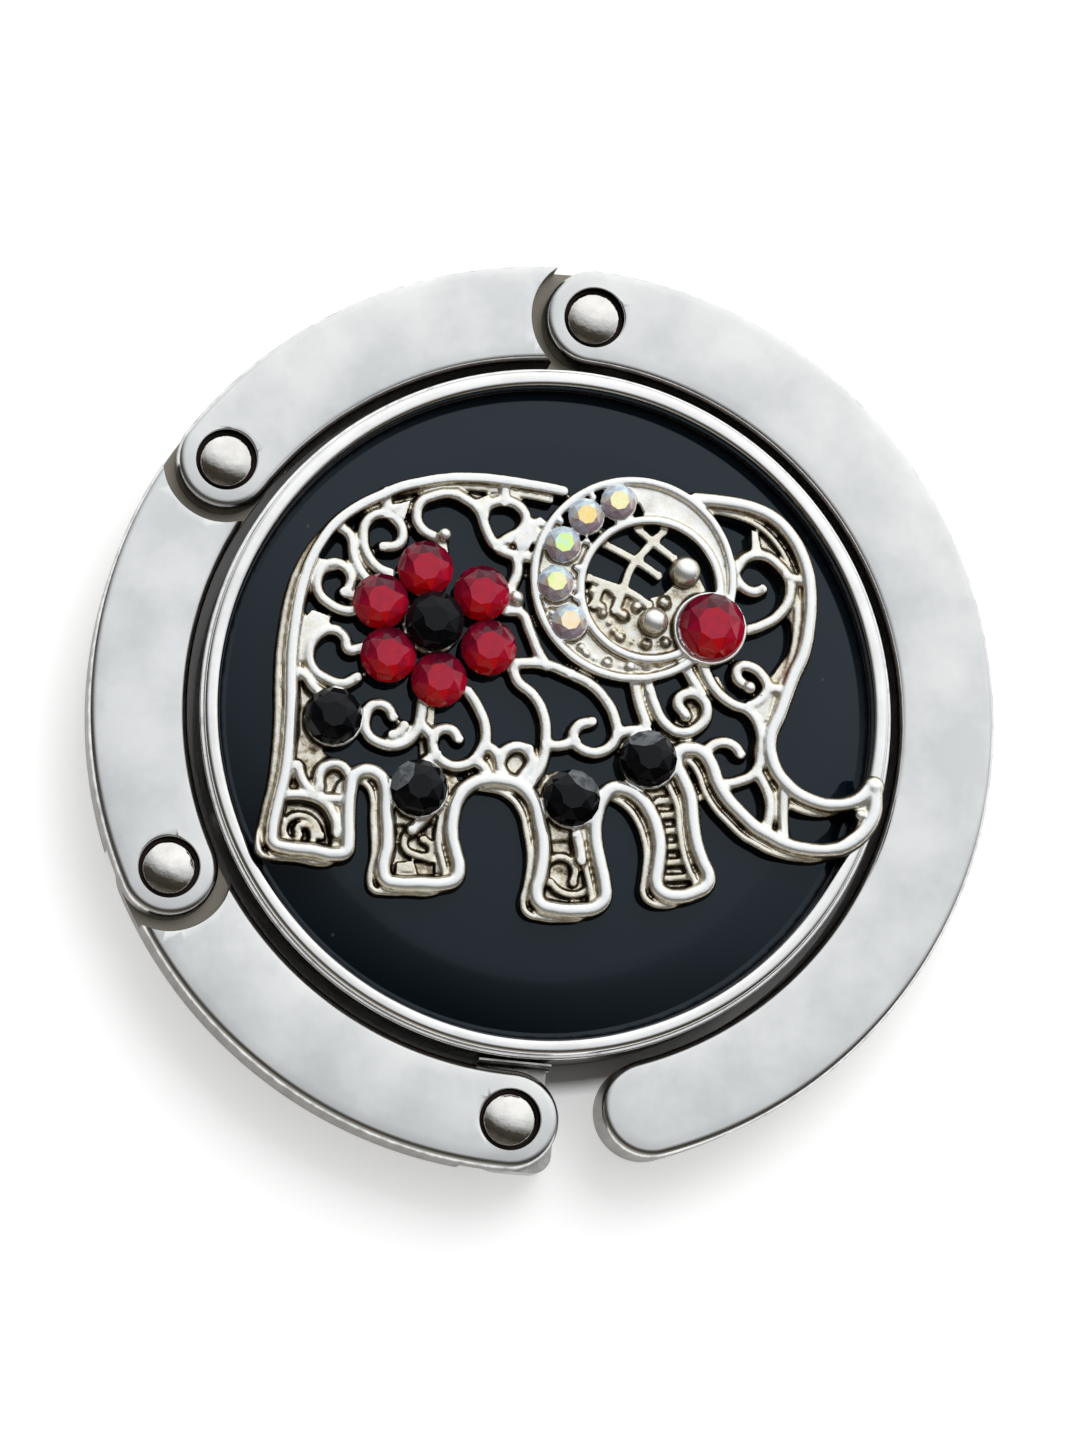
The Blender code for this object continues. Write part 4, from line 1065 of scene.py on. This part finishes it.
def seat_on_dome(mesh):
    """From pixels to metres, the underside drawn down to the inlay but clear of the bezel."""
    for vert in mesh.vertices:
        x = vert.co.x * px + ornament_shift_x
        y = vert.co.y * px
        reach = math.hypot(x, y)
        past = (reach - inlay_radius + bezel_clear_start) / bezel_clear_width
        skin = dome_z(reach / inlay_radius) + glue_line / 4
        skin += (plate_bottom_z - skin) * min(max(past, 0.0), 1.0)
        rise = vert.co.z / plate_px
        top = plate_top_z if rise <= 1 else plate_bottom_z + vert.co.z * px
        share = min(max(rise, 0.0), 1.0)
        vert.co = (x, y, skin + (top - skin) * share)


def make_elephant():
    bm = bmesh.new()
    add_wires(bm, "thin", [outline_lines["back"]])
    add_wires(bm, "outline", [outline_lines["body"], outline_lines["brow"]])
    add_wires(bm, "skirt", [[moved_by(spot, skirt_shift_px) for spot in line]
                            for line in outline_lines.values()])
    add_wires(bm, "curl", list(curl_lines.values()))
    add_wires(bm, "lattice", list(lattice_lines.values()))
    rungs = [[(ladder_left_px, height), (ladder_right_px, height - ladder_lean_px)]
             for height in rung_heights_px]
    add_wires(bm, "relief", list(relief_lines.values()) + rungs)
    rings = [circle_line(ear_middle, ear_radius), circle_line(lobe_middle, lobe_radius)]
    add_wires(bm, "ring", rings, closed=True)
    cup_middle = moved_by(stone_spot("cheek_stone"), cup_shift_px)
    cup_radius = half_width("cheek_stone") / px + cup_margin_px
    add_wires(bm, "cup", [circle_line(cup_middle, cup_radius)], closed=True)
    for node in ["cheek_stone"] + petals + black_stones + ear_stones:
        radius = half_width(node) / px
        add_post(bm, moved_by(stone_spot(node), seat_shift_px), radius + seat_foot_px,
                 radius + seat_head_px, plate_px)
    centre = stone_spot("flower_centre_stone")
    boss = half_width("flower_centre_stone") / px
    add_post(bm, centre, boss + boss_foot_px, boss + boss_foot_px, web_floor_px)
    add_post(bm, centre, boss + 0.5, boss - 1, boss_px)
    crescents = [crescent(*stretch) for stretch in crescent_stretches]
    for height, corners in [*filled_areas.values(), *crescents]:
        stand_up(bm, [plan(spot) for spot in corners], 0.0, height)
    beads = [(spot, floor) for middle, radius, first, last, steps, floor in bead_rows
             for spot in arc(middle, radius, first, last, steps)]
    for number, ((x, y), floor) in enumerate(beads):
        radius = bead_radius_px + bead_swing_px * math.sin(9 * number)
        add_ball(bm, (x + bead_stray_px * math.sin(5 * number), y), radius, floor - bead_sink_px)
    for x, y, radius, height in silver_balls:
        add_post(bm, (x, y), radius, radius * ball_neck_share, height)
        add_ball(bm, (x, y), radius, height)
    for spot in prongs:
        add_post(bm, spot, prong_foot_px, prong_head_px, plate_px + 1)
    casting = put_in_scene(finished(bm, "casting"))
    modify(casting, "REMESH", mode="VOXEL", voxel_size=voxel_px)
    modify(casting, "SMOOTH", factor=0.5, iterations=1)
    faces = sum(len(face.vertices) - 2 for face in evaluated(casting).polygons)
    modify(casting, "DECIMATE", ratio=min(1.0, elephant_triangles / faces))
    mesh = evaluated(casting, casting)
    mesh.name = "cast_elephant"
    seat_on_dome(mesh)
    mesh.shade_smooth()
    add_piece("cast_elephant", mesh, antique_silver, "antique_silver", "elephant_plate")


# Floor, light and camera
def make_floor():
    """A pale table that glows a little where it is looked at, but not in the gap round the disc, which
    takes painted shade there.
    """
    bm = bmesh.new()
    bmesh.ops.create_grid(bm, x_segments=1, y_segments=1, size=table_half_width)
    mesh = finished(bm, "table_top")
    material, tree, shader = new_material("pale table")
    wire_up(tree, shader, Base_Color=(0.72, 0.72, 0.72, 1.0), Roughness=0.9)
    path = add_node(tree, "ShaderNodeLightPath").outputs
    seen = path["Is Camera Ray"]
    for ray in ("Is Glossy Ray", "Is Transmission Ray"):
        seen = worked_out(tree, "MAXIMUM", seen, path[ray])
    from_middle = add_node(tree, "ShaderNodeVectorMath", [(0, object_place(tree))],
                           operation="LENGTH").outputs["Value"]
    # No glow in a ring round the disc: painted shade there.
    glow_start, glow_end = (disc_radius + gap for gap in painted_shade_ring_gaps)
    strength = worked_out(tree, "MULTIPLY", seen,
                          spread(tree, from_middle, glow_start, glow_end, 0.0, table_glow))
    glow = add_node(tree, "ShaderNodeEmission", [("Color", (1.0, 1.0, 1.0, 1.0)),
                                                 ("Strength", strength)])
    both = add_node(tree, "ShaderNodeAddShader", [(0, shader.outputs[0]), (1, glow.outputs[0])])
    tree.links.new(both.outputs[0], tree.nodes["Material Output"].inputs["Surface"])
    mesh.materials.append(material)
    floor = put_in_scene(mesh)


def make_light():
    """A room that is bright on one side and above, and a window that only lights and shades."""
    world = bpy.data.worlds.new("soft room")
    bpy.context.scene.world = world
    world.use_nodes = True
    tree = world.node_tree
    way = add_node(tree, "ShaderNodeTexCoord").outputs["Generated"]
    facing = add_node(tree, "ShaderNodeVectorMath", [(0, way), (1, bright_side)],
                      operation="DOT_PRODUCT").outputs["Value"]
    color = color_steps(tree, spread(tree, facing, -1.0, 1.0), room_tones)
    tree.links.new(color, tree.nodes["Background"].inputs["Color"])
    lamp = bpy.data.lights.new("window", "AREA")
    lamp.shape = "SQUARE"
    lamp.size = window_width
    lamp.energy = window_energy
    holder = put_in_scene(lamp)
    holder.visible_glossy = False
    turn = window_direction.to_track_quat("Z", "Y").to_matrix().to_4x4()
    holder.matrix_world = Matrix.Translation(window_direction * window_distance) @ turn


def make_camera():
    """Nearly straight above, leaning a little towards the lower left of the picture."""
    camera = bpy.data.cameras.new("camera")
    camera.sensor_fit = "VERTICAL"
    camera.sensor_height = sensor_height_mm
    camera.lens = sensor_height_mm / picture_height_mm * camera_distance / MM
    camera.clip_start = camera_near
    holder = put_in_scene(camera)
    lean = math.radians(camera_tilt)
    x, y = on_circle(math.sin(lean), camera_bearing)
    back = Vector((x, y, math.cos(lean)))
    right = Vector((0, 1, 0)).cross(back).normalized()
    turn = Matrix((right, back.cross(right), back)).transposed().to_4x4()
    target = Vector((*camera_target, link_top_z))
    holder.matrix_world = Matrix.Translation(target + back * camera_distance) @ turn
    bpy.context.scene.camera = holder


# Places worked out from the frame
rivets = [f"rivet_{number}" for number in range(1, 5)]
lap_angles = [math.degrees(math.atan2(y, x)) % 360.0 for x, y in map(middle_of, rivets)]
rivet_head_radius = half_width("rivet_1")
lug_angle = lap_angles[0]
collar_low, collar_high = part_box("swivel_collar")
swivel_axis_z = (collar_low.z + collar_high.z) / 2
pocket_roof_z = collar_high.z + pocket_roof_gap
pocket_half = (collar_high.z - collar_low.z) / 2 + pocket_side_gap
pocket_reach = (-collar_high.y - pocket_end_gap, disc_radius - pocket_wall)
swivel_bore = shank_radius + running_clearance

# Table, window, room and camera
table_half_width = 600 * MM
table_glow = 0.5
painted_shade_ring_gaps = (0.7 * MM, 1.5 * MM)
window_energy = 2.2
window_width = 420 * MM
window_distance = 600 * MM
sensor_height_mm = 36.0
picture_height_mm = 70.87
camera_distance = 300 * MM
camera_near = 10 * MM
camera_tilt = 10.5
camera_bearing = 228.0
camera_target = (-0.294 * MM, -0.332 * MM)
window_direction = Vector((0.3, 0.6, 0.74)).normalized()
bright_side = Vector((0.33, 0.8, 0.47)).normalized()
room_tones = [(0.0, (0.5, 0.48, 0.44)), (0.15, (0.4, 0.38, 0.34)), (0.3, (0.13, 0.12, 0.1)),
              (0.42, (0.04, 0.035, 0.028)), (0.56, (0.06, 0.053, 0.042)), (0.64, (0.3, 0.295, 0.29)),
              (0.7, (0.56, 0.57, 0.585)), (0.78, (0.82, 0.835, 0.85)), (0.835, (1.01, 1.015, 1.02)),
              (0.92, (1.1, 1.1, 1.1)), (1.0, (1.15, 1.15, 1.15))]

# Finishes
polish_group = make_polish_group()
# The links darken down their walls: duller cast metal, deepened with painted shade.
satin_zinc = plated_metal("satin plated zinc", light=(0.82, 0.83, 0.825), dull=(0.71, 0.725, 0.73),
                          cloud_scale=260.0, smooth=0.17, rough=0.25, wave_height=0.006 * MM,
                          grain_height=0.001 * MM, polish_and_shade_z=link_top_z - link_polish_and_shade_depth,
                          wall=(0.3, 0.28, 0.25))
cast_zinc = plated_metal("cast zinc", light=(0.52, 0.52, 0.5), dull=(0.36, 0.36, 0.34),
                         cloud_scale=700.0, smooth=0.2, rough=0.32, wave_height=0.01 * MM,
                         grain_height=0.002 * MM)
# The disc's wall below the ledge goes near-black: painted shade in the gap round the disc.
bright_plate = plated_metal("bright plated bezel", light=(0.96, 0.96, 0.96), dull=(0.88, 0.88, 0.87),
                            cloud_scale=500.0, smooth=0.1, rough=0.2, wave_height=0.01 * MM,
                            grain_height=0.0008 * MM, wall=(0.1, 0.08, 0.07),
                            polish_and_shade_z=disc_top_z - bezel_ledge_drop - ledge_polish_and_shade_depth)
# The rivet goes near-black below its rim: painted shade in the sink round its head.
bright_rivet = plated_metal("bright rivet", light=(0.88, 0.87, 0.84), dull=(0.74, 0.73, 0.7),
                            cloud_scale=900.0, smooth=0.03, rough=0.08, wave_height=0.04 * MM,
                            grain_height=0.001 * MM, wall=(0.05, 0.04, 0.035),
                            polish_and_shade_z=link_top_z - head_sink + rivet_rim_height)
antique_silver = make_antique_silver()
black_enamel = make_enamel()
pad_rubber = make_rubber()
red_tones = [(0.0, (0.06, 0.002, 0.011)), (0.25, (0.12, 0.003, 0.016)), (0.45, (0.26, 0.004, 0.024)),
             (0.6, (0.38, 0.006, 0.032)), (0.8, (0.56, 0.001, 0.006)), (1.0, (0.68, 0.004, 0.008))]
red_glass = cut_glass("red cut glass", red_tones, refraction=1.4)
black_tones = [(0.0, (0.006, 0.007, 0.009)), (0.85, (0.0012, 0.0014, 0.002)),
               (0.94, (0.05, 0.055, 0.062)), (1.0, (0.11, 0.12, 0.13))]
black_glass = cut_glass("black cut glass", black_tones, refraction=1.45, gloss=0.2)
rainbow_tones = [(0.0, (0.5, 0.45, 0.56)), (0.1, (0.4, 0.28, 0.32)), (0.2, (0.62, 0.55, 0.42)),
                 (0.3, (0.42, 0.5, 0.66)), (0.4, (0.6, 0.74, 0.7)), (0.5, (0.6, 0.96, 0.9)),
                 (0.6, (0.75, 1.0, 0.3)), (0.72, (1.0, 0.97, 0.6)), (0.85, (1.0, 0.76, 0.27)),
                 (1.0, (1.0, 0.87, 0.68))]
aurora_glass = cut_glass("aurora cut glass", rainbow_tones, refraction=1.5)

# Pieces
links = ("link_a", "link_b", "link_c", "hook_arm")
for node, first_angle, last_angle in zip(links, lap_angles, lap_angles[1:] + [hook_tip_angle]):
    make_link(node, first_angle, last_angle)
for node in rivets:
    make_rivet(node)
make_disc()
make_inlay()
make_pad()
make_elephant()
make_stones()
make_lug()
for node in ("swivel_collar", "swivel_washer"):
    frame["nodes"][node].data.materials.clear()
    frame["nodes"][node].data.materials.append(bright_rivet)
make_floor()
make_light()
make_camera()
bpy.context.scene.view_settings.view_transform = "Standard"
